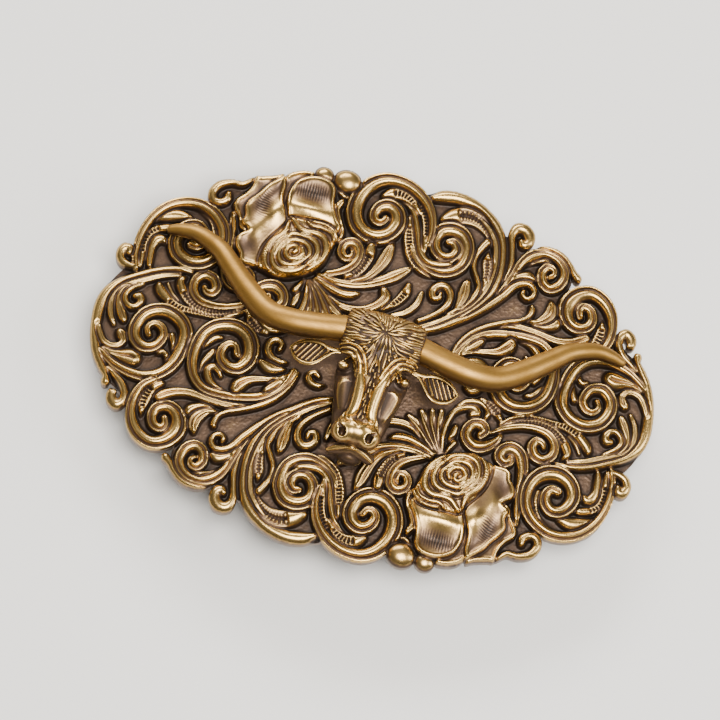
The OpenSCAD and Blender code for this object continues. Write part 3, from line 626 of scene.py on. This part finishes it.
def back_faces(ring, first):
    """Triangles of the plate's back inside a ring of points, the first of which has this number,
    and the extra points that they need."""
    pitch, clear = 1.6, 1.0     # of the extra points, and how far they stay from the ring
    grid = np.array([(i * pitch, j * pitch) for i in range(-31, 32) for j in range(-22, 23)])
    gap = [np.hypot(*(ring - p).T).min() for p in grid]
    flat = [Vector(p) for p in [*ring.tolist(), *grid[np.array(gap) > clear].tolist()]]
    places, _, faces, origin, _, _ = delaunay_2d_cdt(flat, [], [list(range(len(ring)))], 1, 1e-6)
    used = {k for face in faces for k in face}
    number, extra = {}, []
    for k, place in enumerate(places):
        source = origin[k][0] if origin[k] else -1
        if k in used and 0 <= source < len(ring):
            number[k] = first + source
        elif k in used:
            number[k] = first + len(ring) + len(extra)
            extra.append((place.x, place.y, back_at(place.x)))
    return np.array([[number[k] for k in face][::-1] for face in faces]), np.array(extra)


def scroll_plate():
    relief = plate_relief()
    gx, gy = np.meshgrid(relief.x, relief.y)
    edge, inside = plate_outline(relief, gx, gy)
    height, rubbed = plate_surface(relief)
    cell, used = cells_inside(inside)
    index = np.full(edge.shape, -1)
    index[used] = np.arange(used.sum())
    rows, cols = np.nonzero(cell)
    top = np.stack([index[rows, cols], index[rows, cols + 1], index[rows + 1, cols + 1],
                    index[rows + 1, cols]], 1)
    x, y, h = gx[used], gy[used], height[used]

    # the outline: points on the edge move to where the distance is nought, and are smoothed
    loop = outline_of(top)
    slope_y, slope_x = (slope[used][loop] for slope in np.gradient(edge, relief.pitch))
    shift = np.clip(edge[used][loop], -0.2, 0.2) / (np.hypot(slope_x, slope_y) + 1e-6)
    x[loop] -= shift * slope_x
    y[loop] -= shift * slope_y
    for _ in range(3):
        for axis in (x, y):
            axis[loop] = 0.5 * axis[loop] + 0.25 * (np.roll(axis[loop], 1) + np.roll(axis[loop], -1))

    # the edge: rings down from the face, each a little further in
    n, m = len(x), len(loop)
    points, walls = [np.stack([x, y, ground_at(x) + h], 1)], []
    rim = points[0][loop, :2]
    along = np.roll(rim, -1, 0) - np.roll(rim, 1, 0)
    inward = np.stack([-along[:, 1], along[:, 0]], 1) / np.hypot(*along.T)[:, None]
    previous = loop
    for down, inset in ((0.25, 0), (0.9, 0.02), (1.55, 0.05), (1.85, 0.16), (WEB, 0.4)):
        px, py = (rim + inward * inset).T
        pz = ground_at(px) - down if down < WEB else back_at(px)
        ring = n + len(walls) * m + np.arange(m)
        points.append(np.stack([px, py, pz], 1))
        walls.append(np.stack([np.roll(previous, -1), previous, ring, np.roll(ring, -1)], 1))
        previous = ring
    under, extra = back_faces(points[-1][:, :2], previous[0])
    points = np.concatenate([*points, extra])
    plate = mesh_object("cast_scroll_plate", points, top, np.concatenate(walls), under)
    # the plate's attribute: patina dark in the hollows and rubbed bright on proud parts, plus the petals'
    # painted shade and painted highlights
    give(plate, "patina_and_painted_light", np.concatenate([rubbed[used], np.full(len(points) - n, -0.12)]))
    give(plate, "height", np.concatenate([np.clip(h, 0, 3), np.full(len(points) - n, 0.5)]))
    return plate


# ---------------------------------------------------------------- longhorn

LEAN = 1 / math.tan(math.radians(72))       # the head's details are drawn square to this lean
LEAN_FROM = 1.2
SQUARE = np.array((0, -0.31, 0.95))         # the direction in which they are drawn
HEAD_X = 0.25        # the head stands a little to the right of mid length


def tube(path, sides, round_tip=False):
    """Points and faces of a tube along rows of x, y, z and radius, closed at both ends."""
    if round_tip:
        heading = path[-1, :3] - path[-2, :3]
        heading /= np.linalg.norm(heading)
        radius = path[-1, 3]
        cap = [[*(path[-1, :3] + heading * radius * math.sin(a)), radius * math.cos(a)]
               for a in np.radians([15, 30, 45, 60, 72, 82, 88])]
        path = np.vstack([path, cap])
    heading = np.gradient(path[:, :3], axis=0)
    heading /= np.linalg.norm(heading, axis=1)[:, None]
    angle = np.arange(sides)[:, None] * 2 * np.pi / sides
    up = np.array([0.0, 0.0, 1.0])
    rings = []
    for centre, t in zip(path, heading):
        up = up - t * (up @ t)
        up /= np.linalg.norm(up)
        rings.append(centre[:3] + centre[3] * (np.cos(angle) * up + np.sin(angle) * np.cross(t, up)))
    return skin_over(rings, path[0, :3], path[-1, :3])


def soft_min(a, b, k):
    """The lesser of two distances, with a round blend of size k."""
    h = np.clip(0.5 + 0.5 * (b - a) / k, 0, 1)
    return b * (1 - h) + a * h - k * h * (1 - h)


def soft_max(a, b, k):
    return -soft_min(-a, -b, k)


def egg(p, centre, radii):
    """Distance to an ellipsoid, nearly."""
    q = [(p[i] - centre[i]) / radii[i] for i in range(3)]
    k0 = np.sqrt(q[0] ** 2 + q[1] ** 2 + q[2] ** 2)
    k1 = np.sqrt(sum((q[i] / radii[i]) ** 2 for i in range(3)))
    return k0 * (k0 - 1) / np.maximum(k1, 1e-6)


def limb(p, a, b, ra, rb):
    """Distance to a cone with round ends from a to b."""
    ab = np.subtract(b, a)
    ap = [p[i] - a[i] for i in range(3)]
    t = np.clip(sum(ap[i] * ab[i] for i in range(3)) / (ab @ ab), 0, 1)
    return np.sqrt(sum((ap[i] - t * ab[i]) ** 2 for i in range(3))) - ra - t * (rb - ra)


def head_volume(p):
    """Signed distance to the longhorn's head without its finer relief. Heights are over the ground."""
    x, y, z = p
    ax = np.abs(x)
    q = (ax, y, z)
    poll = soft_max(np.hypot(y - 2.7, z - 7.0) - 4.35 + 0.9 * (ax / 6.75) ** 4, ax - 6.8, 0.5)
    face = limb(q, (0, -1.5, 5.6), (0, -12, 5.6), 3.9, 2.9)
    head = soft_min(poll, face, 1.6)
    bridge = limb(q, (1.5, -1.0, 8.6), (0.9, -12.6, 8.2), 1.75, 1.5)
    head = soft_min(head, bridge, 0.7)
    brow = limb(q, (5.2, -0.6, 8.2), (2.4, -1.6, 9.0), 1.5, 1.6)
    head = soft_min(head, brow, 0.7)
    jaw = limb(q, (3.5, -4.0, 4.9), (2.3, -13.5, 4.6), 2.75, 2.1)
    head = soft_min(head, jaw, 1.0)
    socket = limb(q, (4.4, -4.0, 9.5), (6.8, -3.9, 8.0), 1.35, 1.6)
    head = soft_max(head, -socket, 0.35)
    cheek = limb(q, (4.2, -6.4, 6.3), (3.3, -10.4, 6.5), 1.35, 1.0)
    head = soft_min(head, cheek, 0.9)
    muzzle = egg(q, (0, -14.6, 7.6), (3.7, 2.3, 2.9))
    nose = egg(q, (2.25, -15.2, 8.7), (1.95, 2.0, 1.95))
    head = soft_min(head, soft_min(muzzle, nose, 0.5), 0.5)
    lip = limb(q, (0, -16.7, 6.0), (3.3, -17.6, 4.9), 1.2, 0.95)
    head = soft_min(head, lip, 0.3)
    chin = egg(q, (0, -17.9, 4.0), (2.2, 1.4, 1.9))
    head = soft_min(head, chin, 0.3)
    nostril = soft_min(egg(q, (2.3, -15.75, 10.2), (0.66, 0.8, 1.5)),
                       limb(q, (2.4, -15.3, 10.5), (3.25, -14.5, 10.2), 0.45, 0.22), 0.3)
    head = soft_max(head, -nostril, 0.15)
    eye = egg(q, (5.25, -3.9, 7.9), (1.1, 0.85, 0.95))
    head = soft_min(head, eye, 0.1)
    head = soft_max(head, 1.8 - z, 0.25)
    for boss_y in (4, -11):         # the bosses that the screws run up
        boss = soft_max(np.hypot(x, y - boss_y) - 2.2, -z, 0.1) + np.maximum(z - 5, 0)
        head = soft_min(head, boss, 0.4)
    return head


WHORL_X, WHORL_Y = 0.1, 5.9
FRINGE_Y = 0.6      # below this the hair is a narrow lock between the brows


def hair_flow(x, y):
    """Which way the hair lies: out of the whorl, then down between the brows."""
    dx, dy = x - WHORL_X, y - WHORL_Y
    wide = min(1, max(0, (abs(dx) - 1.2) / 2.3))
    if y < 0.8:
        return 0.25 * dx + 0.3 * math.sin(2.1 * y + 3 * x), -1.5
    if dy > 0:
        dy *= 1 - 0.62 * wide
    else:
        dy *= 1 - 0.72 * wide
        dx *= 1 - 0.55 * (1 - wide) * min(1, -dy / 2)
    turn = 0.13 * math.sin(2.3 * x + 1.7 * y) + 0.1 * math.sin(3.7 * y - 1.1 * x)
    return dx - dy * turn, dy + dx * turn


def hair_strands():
    """Lines of hair that follow the flow and keep apart, as arrays of x and y."""
    rng = random.Random(5)
    seeds = [(WHORL_X + r * math.cos(a), WHORL_Y + r * math.sin(a))
             for r, gap in ((0.42, 0.62), (1.0, 0.5)) for a in np.arange(0, 6.28, gap)]
    seeds += [(rng.uniform(-7.2, 7.4), rng.uniform(0.2, 10.4)) for _ in range(2600)]
    seeds += [(rng.uniform(-0.75, 0.95), rng.uniform(-9.8, 0.6)) for _ in range(260)]
    laid = np.zeros((0, 2))
    strands = []

    def crowded(x, y, apart):
        return len(laid) and np.hypot(*(laid - (x, y)).T).min() < apart

    for x, y in seeds:
        apart = 0.45 if y > FRINGE_Y else 0.4
        limit = 0.5 + 0.9 * min(1, max(0, (y + 1.0) / 4)) if y < FRINGE_Y else 99
        if abs(x - 0.15) > limit or crowded(x, y, apart):
            continue
        line, length = [(x, y)], rng.uniform(4.5, 8) if y > FRINGE_Y else rng.uniform(1.2, 2.0)
        for way in (1, -1):
            u, v = x, y
            for _ in range(int(length / 0.24)):
                du, dv = hair_flow(u, v)
                size = math.hypot(du, dv) + 1e-6
                u, v = u + way * 0.12 * du / size, v + way * 0.12 * dv / size
                if crowded(u, v, 0.62 * apart) or math.hypot(u - WHORL_X, v - WHORL_Y) < 0.15:
                    break
                line = line + [(u, v)] if way > 0 else [(u, v)] + line
        if len(line) >= 5:
            laid = np.vstack([laid, line])
            strands.append(np.array(line[::2]))
    return strands


# The drawn lines of one side of the head, as height and 'x y half-width' triples.
HEAD_LINES = [
    # brow ridges: the upper two, and the one that runs down the bridge of the nose
    (1.1, "6.9 1.6 .15, 5.8 2.25 .22, 4.7 2.4 .24, 3.4 2.05 .26, 2.3 .9 .26, 1.65 -.6 .26, 1.2 -2.2 .2"),
    (1.1, "6.8 .25 .15, 5.7 .68 .26, 4.65 .76 .28, 3.95 .35 .3, 3.45 -.6 .32, 3 -1.8 .3, 2.7 -3 .2"),
    (0.85, "6.9 .95 .15, 5.8 1.45 .22, 4.7 1.58 .24, 3.75 1.25 .26, 2.95 .15 .3, 2.35 -1.1 .38,"
     "1.95 -2.5 .55, 1.6 -4.2 .8, 1.45 -5.8 .84, 1.42 -7.6 .82, 1.65 -9 .75, 2.3 -10 .6, 3 -10.7 .3"),
    # upper lid
    (0.3, "3.9 -2.2 .1, 4.6 -2.75 .2, 5.5 -2.95 .22, 6.4 -2.85 .1"),
    # upper edge of the muzzle, and the lip
    (0.45, "3.4 -11.1 .1, 2.7 -10.5 .24, 1.7 -10.3 .26, .7 -10.8 .2, 0 -11.2 .1"),
    (0.75, "-.3 -15.1 .3, 1.2 -15.25 .34, 2.6 -15.9 .36, 3.9 -16.7 .2"),
    # folds of the cheek
    (0.35, "3.2 -4.1 .1, 4.3 -4 .2, 5 -4.9 .2, 4.75 -7 .2, 4 -9.2 .1"),
    (0.3, "2.9 -5 .1, 2.75 -7 .16, 3 -9 .1"),
]
# Painted light of one side: painted shade in the cheek, the eye socket and the nostril, a painted highlight
# on the eye and a brighter patch round the nostril, as painted light, x, y, radius x and radius y.
HEAD_SPOTS = [(-0.25, 4.4, -6.4, 1.3, 3.2), (-0.5, 5.3, -1.7, 1.7, 1.5), (1.2, 5.25, -1.6, 0.7, 0.6),
              (0.6, 2.3, -12.4, 1.6, 1.6), (-1.9, 2.35, -12.7, 0.5, 0.6)]


def head_skin():
    """The surface of the head's volume: points, normals and faces."""
    step = 0.11
    low = np.array([-7.6, -20.2, -0.25])
    count = (139, 256, 112)
    grid = np.meshgrid(*(low[i] + step * np.arange(count[i]) for i in range(3)), indexing="ij")
    volume = openvdb.FloatGrid(1.0)
    volume.copyFromArray(np.clip(head_volume(grid), -1, 1).astype(np.float32))
    points, triangles, quads = volume.convertToPolygons(isovalue=0.0, adaptivity=0.0)
    points = points.astype(float) * step + low
    a, b, c, d = points[quads.T]
    across = np.cross(c - a, d - b)
    normal = np.zeros_like(points)
    for k in range(4):
        np.add.at(normal, quads[:, k], across)
    normal /= np.linalg.norm(normal, axis=1)[:, None] + 1e-9
    return points, normal, [f.astype(int) for f in (quads, triangles) if len(f)]


def strand_tube(line, detail, ridges):
    """A strand as a thin tapering tube half sunk in the hide, where no ridge is in its way."""
    x, y = line.T
    z = np.full(len(line), 13.0)
    for _ in range(50):     # down on to the hide, square to the drawing
        gap = head_volume((x, y - LEAN * (z - LEAN_FROM), z))
        z = np.maximum(z - 0.8 * gap, 3)
    clear = (detail.sample(ridges, x, y) < 0.1) & (np.abs(gap) < 0.05)
    runs = np.split(np.arange(len(line)), np.nonzero(np.diff(clear.astype(int)))[0] + 1)
    run = max((run for run in runs if clear[run[0]]), key=len, default=[])
    if len(run) < 4:
        return None
    x, y, z = x[run], y[run], z[run]
    taper = 1 - np.abs(np.linspace(-1, 1, len(run))) ** 3
    radius = 0.05 + (0.175 if line[0, 1] > FRINGE_Y else 0.13) * taper
    return tube(np.stack([x, y - LEAN * (z - LEAN_FROM), z + 0.02, radius], 1), 8)


def longhorn_head():
    points, normal, faces = head_skin()
    detail = Relief(half_x=8, half_y=20, pitch=0.08)
    for side in (1, -1):
        for height, text in HEAD_LINES:
            detail.lay("plain", height, text, moat=0.4, side=side)
    ridges = blur(detail.height, 0.9)
    strands = hair_strands()
    hair = np.zeros(ridges.shape)
    for x, y in np.concatenate(strands):
        hair[detail.window(x - 0.3, x + 0.3, y - 0.3, y + 0.3)] = 1
    hair = blur(hair, 2) * np.clip(1 - ridges / 0.12, 0, 1)
    # painted: the drawn ridges rubbed bright and the hide under the strands darker
    painted = np.clip(ridges / 0.5, 0, 1) * 0.95 + 1.9 * (ridges - blur(ridges, 4.0)) - 0.35 * hair
    gx, gy = np.meshgrid(np.abs(detail.x), detail.y)
    # the spots' painted shade and painted highlights go on where no ridge is
    for tone, x, y, rx, ry in HEAD_SPOTS:
        spot = np.exp(-((gx - x) / rx) ** 4 - ((gy - y) / ry) ** 4)
        painted += tone * spot * np.clip(1 - ridges / 0.3, 0, 1)

    # the drawing is laid on the skin, and fades where the skin turns away from it
    drawn = points[:, 0], points[:, 1] + LEAN * (points[:, 2] - LEAN_FROM)
    square_on = normal @ SQUARE
    facing = np.clip(square_on - 0.05, 0, 1) ** 0.5
    patina_and_painted_light = detail.sample(painted, *drawn) * facing
    points += normal * (detail.sample(ridges - 0.18 * hair, *drawn) * facing)[:, None]
    # room over the skin, which is rubbed bright where the skin faces the drawing; skin turned away from the
    # drawing is lifted
    room = head_volume((points + 0.9 * normal).T)
    toward = np.clip((square_on - 0.45) / 0.5, 0, 1)
    patina_and_painted_light += np.clip((room - 0.55) * 2.6, -0.6, 0.95) * toward - 0.6 + 0.45 * (1 - toward)
    # the low parts are darker towards the plate, and painted light brightens the faces that turn towards
    # +y, the top light's side
    patina_and_painted_light += np.clip((points[:, 2] - 7.0) / 4.0, -0.6, 0) + 0.6 * np.clip(normal[:, 1], 0, 1)
    patina_and_painted_light = np.clip(patina_and_painted_light, -0.5, 0.75)

    parts, start = [points], len(points)
    for line in strands:
        strand = strand_tube(line, detail, ridges)
        if strand:
            parts.append(strand[0])
            faces += [f + start for f in strand[1]]
            start += len(strand[0])
    points = np.vstack(parts) + (HEAD_X, 0, CROWN)
    head = mesh_object("cast_longhorn_head", points, *faces)
    give(head, "patina_and_painted_light", np.concatenate([patina_and_painted_light, np.full(len(points) - len(patina_and_painted_light), 0.24)]))
    give(head, "height", np.full(len(points), 0.6))
    return head


def leaf_ear(side):
    """The animal's ear: a dished leaf with a raised rim and slanting ribs."""
    stations, over, under = 180, 60, 10
    edges = []
    for text in ("6.2 1, 8.3 .85, 9.6 1.2, 11 1.3, 12.6 .9, 13.8 .1, 14.75 -.95",
                 "6.2 .1, 7.4 -.3, 8.6 -1.6, 9.8 -2.9, 11.2 -3.55, 12.8 -3.4, 14 -2.6, 14.8 -1.25"):
        line = catmull_rom(numbers(text, 2), 0.1)
        run = np.concatenate([[0], np.cumsum(np.linalg.norm(np.diff(line, axis=0), axis=1))])
        at = np.linspace(0, run[-1], stations)
        edges.append([np.interp(at, run, line[:, k])[:, None] for k in (0, 1)])
    (ax, ay), (bx, by) = edges
    s = np.concatenate([np.linspace(-1, 1, over), np.linspace(1, -1, under + 2)[1:-1]])
    x, y = ax * (1 - s) / 2 + bx * (1 + s) / 2, ay * (1 - s) / 2 + by * (1 + s) / 2
    half = np.hypot(ax - bx, ay - by) / 2
    on_top = np.arange(len(s)) < over
    gap = np.where(on_top, 1 - np.abs(s), 1) * half         # distance from the rim
    ribs = (0.5 + 0.5 * np.cos(2 * np.pi * (x * 0.86 + y * 0.50) / 0.72)) ** 1.5
    inner = np.clip((gap - 0.62) / 0.2, 0, 1) * np.clip((14.2 - x) / 0.6, 0, 1)
    rim = 0.6 * np.clip(1 - ((gap - 0.36) / 0.4) ** 4, 0, 1) ** 0.5
    top = rim - inner * (0.55 - 0.3 * ribs * np.clip((x - 8.4) / 0.8, 0, 1)) * np.clip(half / 0.9, 0, 1)
    belly = -0.35 - 0.9 * np.sqrt(1 - s**2) * np.clip(half / 1.5, 0.2, 1)
    z = np.where(on_top, top, belly) + 6.3 - 0.07 * (x - 9) ** 2 * (x > 9)
    rings = np.stack([x, y, z], 2)
    points, faces = skin_over(rings, rings[0].mean(0), rings[-1].mean(0))
    points[:, 1] -= LEAN * (points[:, 2] - LEAN_FROM)
    points = points * (side, 1, 1) + (HEAD_X, 0, CROWN)
    if side > 0:
        faces = [f[:, ::-1] for f in faces]
    ear = mesh_object("ear_of_head", points, *faces)
    give(ear, "patina_and_painted_light", [*np.where(gap < 0.68, 0.9, ribs - 0.6).ravel(), 0, 0])
    give(ear, "height", np.full(len(points), 0.6))
    return ear


def horn(side):
    path = catmull_rom([(6.3, 2.5, 7.7, 2.32), (9, 1.95, 7.75, 2.26), (12, 1.45, 7.7, 2.24),
                        (16, 1.1, 7.4, 2.22), (20, 1.75, 6.6, 2.15), (24, 4.6, 5.4, 2.1),
                        (28, 8.4, 4, 1.9), (31, 11.2, 3, 1.7), (35, 13.1, 1.9, 1.45),
                        (38, 13.3, 1.1, 1.2), (39.8, 13.0, 0.6, 0.9)], 0.4, place=3)
    path = path * (side, 1, 1, 1) + (HEAD_X, 0, CROWN, 0)
    points, faces = tube(path, 48, round_tip=True)
    piece = mesh_object("right_horn_of_head" if side > 0 else "left_horn_of_head", points, *faces)
    normal = np.zeros(3 * len(points), np.float32)
    piece.data.vertices.foreach_get("normal", normal)
    # painted shade: the attribute darkens the horn's colour on the sides that face down and away from the
    # top light
    give(piece, "patina_and_painted_light", np.clip(0.8 - normal.reshape(-1, 3) @ (0, 0.44, 0.9), 0, 1))
    return piece


def join(name, *objects):
    """One object from several, keeping their attributes."""
    bpy.ops.object.select_all(action="DESELECT")
    for o in objects:
        o.select_set(True)
    bpy.context.view_layer.objects.active = objects[0]
    bpy.ops.object.join()
    objects[0].name = name
    return objects[0]


# ---------------------------------------------------------------- finishes

class Recipe:
    """A material in the making, with short ways to add nodes to it."""

    def __init__(self, name):
        self.material = bpy.data.materials.new(name)
        self.material.use_nodes = True
        self.nodes = self.material.node_tree.nodes
        self.link = self.material.node_tree.links.new
        self.inputs = self.nodes["Principled BSDF"].inputs

    def attribute(self, name):
        node = self.nodes.new("ShaderNodeAttribute")
        node.attribute_name = name
        return node.outputs["Fac"]

    def noise(self, scale, detail=3.0, stretch=None):
        where = self.nodes.new("ShaderNodeTexCoord").outputs["Object"]
        if stretch:
            mapping = self.nodes.new("ShaderNodeMapping")
            mapping.inputs["Scale"].default_value = stretch
            self.link(where, mapping.inputs["Vector"])
            where = mapping.outputs["Vector"]
        texture = self.nodes.new("ShaderNodeTexNoise")
        texture.inputs["Scale"].default_value = scale
        texture.inputs["Detail"].default_value = detail
        self.link(where, texture.inputs["Vector"])
        return texture.outputs["Fac"]

    def ranged(self, value, low, high, to_low, to_high):
        """A value from low to high, brought to another range and kept in it."""
        node = self.nodes.new("ShaderNodeMapRange")
        for key, number in (("From Min", low), ("From Max", high), ("To Min", to_low), ("To Max", to_high)):
            node.inputs[key].default_value = number
        self.link(value, node.inputs["Value"])
        return node.outputs["Result"]

    def maths(self, operation, a, b):
        node = self.nodes.new("ShaderNodeMath")
        node.operation = operation
        self.link(a, node.inputs[0])
        if isinstance(b, float):
            node.inputs[1].default_value = b
        else:
            self.link(b, node.inputs[1])
        return node.outputs["Value"]

    def ramp(self, value, stops):
        node = self.nodes.new("ShaderNodeValToRGB")
        elements = node.color_ramp.elements
        while len(elements) < len(stops):
            elements.new(0.5)
        for element, (place, colour) in zip(elements, stops):
            element.position = place
            element.color = (*colour, 1)
        self.link(value, node.inputs["Fac"])
        return node.outputs["Color"]

    def bump(self, height, distance, strength, under=None):
        node = self.nodes.new("ShaderNodeBump")
        node.inputs["Strength"].default_value = strength
        node.inputs["Distance"].default_value = distance * MM
        self.link(height, node.inputs["Height"])
        if under:
            self.link(under, node.inputs["Normal"])
        return node.outputs["Normal"]


def antique_brass():
    """Dark lacquer in the hollows, rubbed through to brass on everything that stands proud, with the
    painted shade and painted highlights that its attribute carries.
    """
    recipe = Recipe("antique_brass")
    wear_and_painted_light = recipe.attribute("patina_and_painted_light")
    for part in (recipe.ranged(recipe.attribute("height"), 0.1, 1.0, -0.17, 0.16),
                 recipe.ranged(recipe.noise(420, 4), 0.3, 0.7, -0.08, 0.08),
                 recipe.ranged(recipe.noise(3800), 0.3, 0.7, -0.05, 0.05)):
        wear_and_painted_light = recipe.maths("ADD", wear_and_painted_light, part)
    wear_and_painted_light = recipe.ranged(wear_and_painted_light, -0.75, 0.75, 0, 1)
    colour = recipe.ramp(wear_and_painted_light, [(0.0, (0.013, 0.008, 0.005)), (0.20, (0.036, 0.021, 0.013)),
                                (0.38, (0.104, 0.064, 0.041)), (0.52, (0.23, 0.143, 0.070)),
                                (0.68, (0.44, 0.282, 0.098)), (1.0, (0.66, 0.430, 0.140))])
    recipe.link(colour, recipe.inputs["Base Color"])
    recipe.inputs["Specular IOR Level"].default_value = 0.25
    recipe.link(recipe.ranged(wear_and_painted_light, 0.12, 0.5, 0.3, 1.0), recipe.inputs["Metallic"])
    recipe.link(recipe.ranged(wear_and_painted_light, 0.25, 0.75, 0.44, 0.27), recipe.inputs["Roughness"])
    fine = recipe.bump(recipe.noise(5200), 0.006, 0.3)
    recipe.link(recipe.bump(recipe.noise(1300), 0.012, 0.2, fine), recipe.inputs["Normal"])
    return recipe.material


def brass(name, colours, rough, stretch, shaded=False):
    """Plain or satin brass: cloudy tarnish, fine brushed lines and a few scuffs."""
    recipe = Recipe(name)
    recipe.inputs["Metallic"].default_value = 1.0
    cloud = recipe.noise(260, 4)
    lines = recipe.noise(900, 4, stretch)
    mixed = recipe.maths("ADD", recipe.maths("MULTIPLY", cloud, 0.6), recipe.maths("MULTIPLY", lines, 0.4))
    colour = recipe.ramp(mixed, [(0.3 + 0.2 * k, c) for k, c in enumerate(colours)])
    if shaded:      # painted shade: a dark lacquer colour where the attribute says, on the horns' undersides
        edge = recipe.maths("ADD", recipe.attribute("patina_and_painted_light"), recipe.ranged(cloud, 0.3, 0.7, -0.1, 0.1))
        mix = recipe.nodes.new("ShaderNodeMix")
        mix.data_type = "RGBA"
        factor, first, second = (mix.inputs[k] for k in (0, 6, 7))      # the two are colours
        recipe.link(recipe.ranged(edge, 0.25, 0.85, 0, 1), factor)
        recipe.link(colour, first)
        second.default_value = (0.09, 0.052, 0.024, 1)
        colour = mix.outputs[2]
    recipe.link(colour, recipe.inputs["Base Color"])
    recipe.link(recipe.ranged(mixed, 0.3, 0.7, rough + 0.07, rough - 0.05), recipe.inputs["Roughness"])
    fine = recipe.bump(lines, 0.006, 0.8)
    recipe.link(recipe.bump(recipe.noise(5000), 0.008, 0.5, fine), recipe.inputs["Normal"])
    return recipe.material


FINISHES = {
    "antique_brass": antique_brass(),
    "satin_brass": brass("satin_brass", [(0.22, 0.116, 0.025), (0.33, 0.180, 0.042), (0.40, 0.228, 0.058)],
                         0.46, (1, 9, 9), shaded=True),
    "plain_brass": brass("plain_brass", [(0.36, 0.25, 0.12), (0.52, 0.37, 0.18), (0.60, 0.44, 0.22)],
                         0.38, (1, 12, 12)),
    "rivet_brass": brass("rivet_brass", [(0.42, 0.29, 0.13), (0.60, 0.43, 0.20), (0.68, 0.50, 0.24)],
                         0.30, (6, 6, 1)),
    "wire": brass("wire", [(0.40, 0.28, 0.14), (0.58, 0.42, 0.21), (0.66, 0.49, 0.26)], 0.28, (2, 2, 2)),
    "screw_steel": brass("screw_steel", [(0.20, 0.20, 0.20), (0.36, 0.355, 0.35), (0.46, 0.455, 0.45)],
                         0.34, (6, 6, 6)),
}


# ---------------------------------------------------------------- the buckle

def install(piece, node, slot, body="plate"):
    """Lets a piece stand for a CAD node, with a finish, on a body."""
    piece.data.materials.clear()
    piece.data.materials.append(FINISHES[slot])
    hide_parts(node)
    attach(piece, body)


def hardware(node, name, width, slot, body="plate"):
    """A copy of a CAD piece with edges rounded to a width, which stands for it."""
    work = bmesh.new()
    work.from_mesh(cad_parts[node].data)
    bmesh.ops.remove_doubles(work, verts=work.verts, dist=1e-7)
    bmesh.ops.dissolve_limit(work, angle_limit=math.radians(0.4), verts=work.verts, edges=work.edges)
    mesh = bpy.data.meshes.new(name)
    work.to_mesh(mesh)
    work.free()
    mesh.polygons.foreach_set("use_smooth", np.ones(len(mesh.polygons), bool))
    piece = new_object(name, mesh)
    bevel = piece.modifiers.new("rounded_edges", "BEVEL")
    bevel.width = width * MM
    bevel.segments = 3
    bevel.limit_method = "ANGLE"
    bevel.angle_limit = math.radians(38)
    bevel.harden_normals = True
    install(piece, node, slot, body)


install(scroll_plate(), "scroll_plate", "antique_brass")
install(join("cast_longhorn_head", longhorn_head(), leaf_ear(1), leaf_ear(-1)), "longhorn_head",
        "antique_brass")
install(horn(1), "right_horn", "satin_brass")
install(horn(-1), "left_horn", "satin_brass")
for half in ("upper", "lower"):
    hardware(f"{half}_ear", f"{half}_bail_ear", 0.3, "plain_brass")
hardware("hook_base", "riveted_hook_base", 0.3, "plain_brass")
hardware("hook_prong", "bent_hook_prong", 0.15, "wire")
for half in ("upper", "lower"):
    hardware(f"{half}_head_screw", f"{half}_slotted_screw", 0.15, "screw_steel")
for half in ("upper", "lower"):
    for place in ("inner", "outer"):
        hardware(f"{half}_ear_{place}_rivet", f"{half}_ear_rivet_{place}", 0.22, "rivet_brass")
for half in ("upper", "lower"):
    hardware(f"{half}_hook_rivet", f"{half}_base_rivet", 0.22, "rivet_brass")
hardware("belt_loop", "swinging_belt_loop", 0.1, "wire", "bail")


# ---------------------------------------------------------------- stage

MIDDLE = Vector((0, 0, CROWN * MM))
WARM = (1, 0.97, 0.92)


def area_light(name, place, size, power, colour=(1, 1, 1)):
    """A soft light that faces the middle of the buckle."""
    data = bpy.data.lights.new(name, "AREA")
    data.shape = "RECTANGLE"
    data.size, data.size_y = size
    data.energy = power
    data.color = colour
    light = new_object(name, data)
    light.location = place
    light.rotation_euler = (MIDDLE - Vector(place)).to_track_quat("-Z", "Y").to_euler()


def pale_floor():
    work = bmesh.new()
    bmesh.ops.create_grid(work, x_segments=8, y_segments=8, size=1.2)
    mesh = bpy.data.meshes.new("floor")
    work.to_mesh(mesh)
    work.free()
    floor = new_object("floor", mesh)
    floor.location.z = cad_box[0][2] - 0.0001
    recipe = Recipe("pale_floor")
    recipe.inputs["Base Color"].default_value = (0.74, 0.73, 0.71, 1)
    recipe.inputs["Roughness"].default_value = 0.7
    mesh.materials.append(recipe.material)


pale_floor()
world = bpy.data.worlds.new("studio")
world.use_nodes = True
background = world.node_tree.nodes["Background"].inputs
background["Color"].default_value = (0.63, 0.61, 0.58, 1)
background["Strength"].default_value = 0.30
bpy.context.scene.world = world
area_light("key", (0.10, -0.14, 0.75), (0.40, 0.40), 12, WARM)
area_light("top", (-0.30, 0.60, 0.45), (0.60, 0.22), 8, WARM)
area_light("right", (0.60, 0.05, 0.40), (0.20, 0.40), 3)

# The camera looks down at the buckle from a distance, turned about its own axis, a little to the
# left of the middle and above it.
ELEVATION, ROLL, DISTANCE = math.radians(72), math.radians(16.5), 0.760
VIEW_WIDTH = 0.12203        # of what the camera sees at the buckle
AIM_RIGHT, AIM_ABOVE = -2.364 * MM, 1.09 * MM
toward = Vector((0, -math.cos(ELEVATION), math.sin(ELEVATION)))
across = Vector((1, 0, 0))
upward = Vector((0, math.sin(ELEVATION), math.cos(ELEVATION)))
right = math.cos(ROLL) * across + math.sin(ROLL) * upward
above = -math.sin(ROLL) * across + math.cos(ROLL) * upward
camera_data = bpy.data.cameras.new("camera")
camera_data.sensor_width = 36
camera_data.lens = camera_data.sensor_width * DISTANCE / VIEW_WIDTH
camera_data.clip_start = 0.01
camera = new_object("camera", camera_data)
turned = Matrix((right, above, toward)).transposed().to_4x4()
turned.translation = MIDDLE + AIM_RIGHT * right + AIM_ABOVE * above + DISTANCE * toward
camera.matrix_world = turned
bpy.context.scene.camera = camera
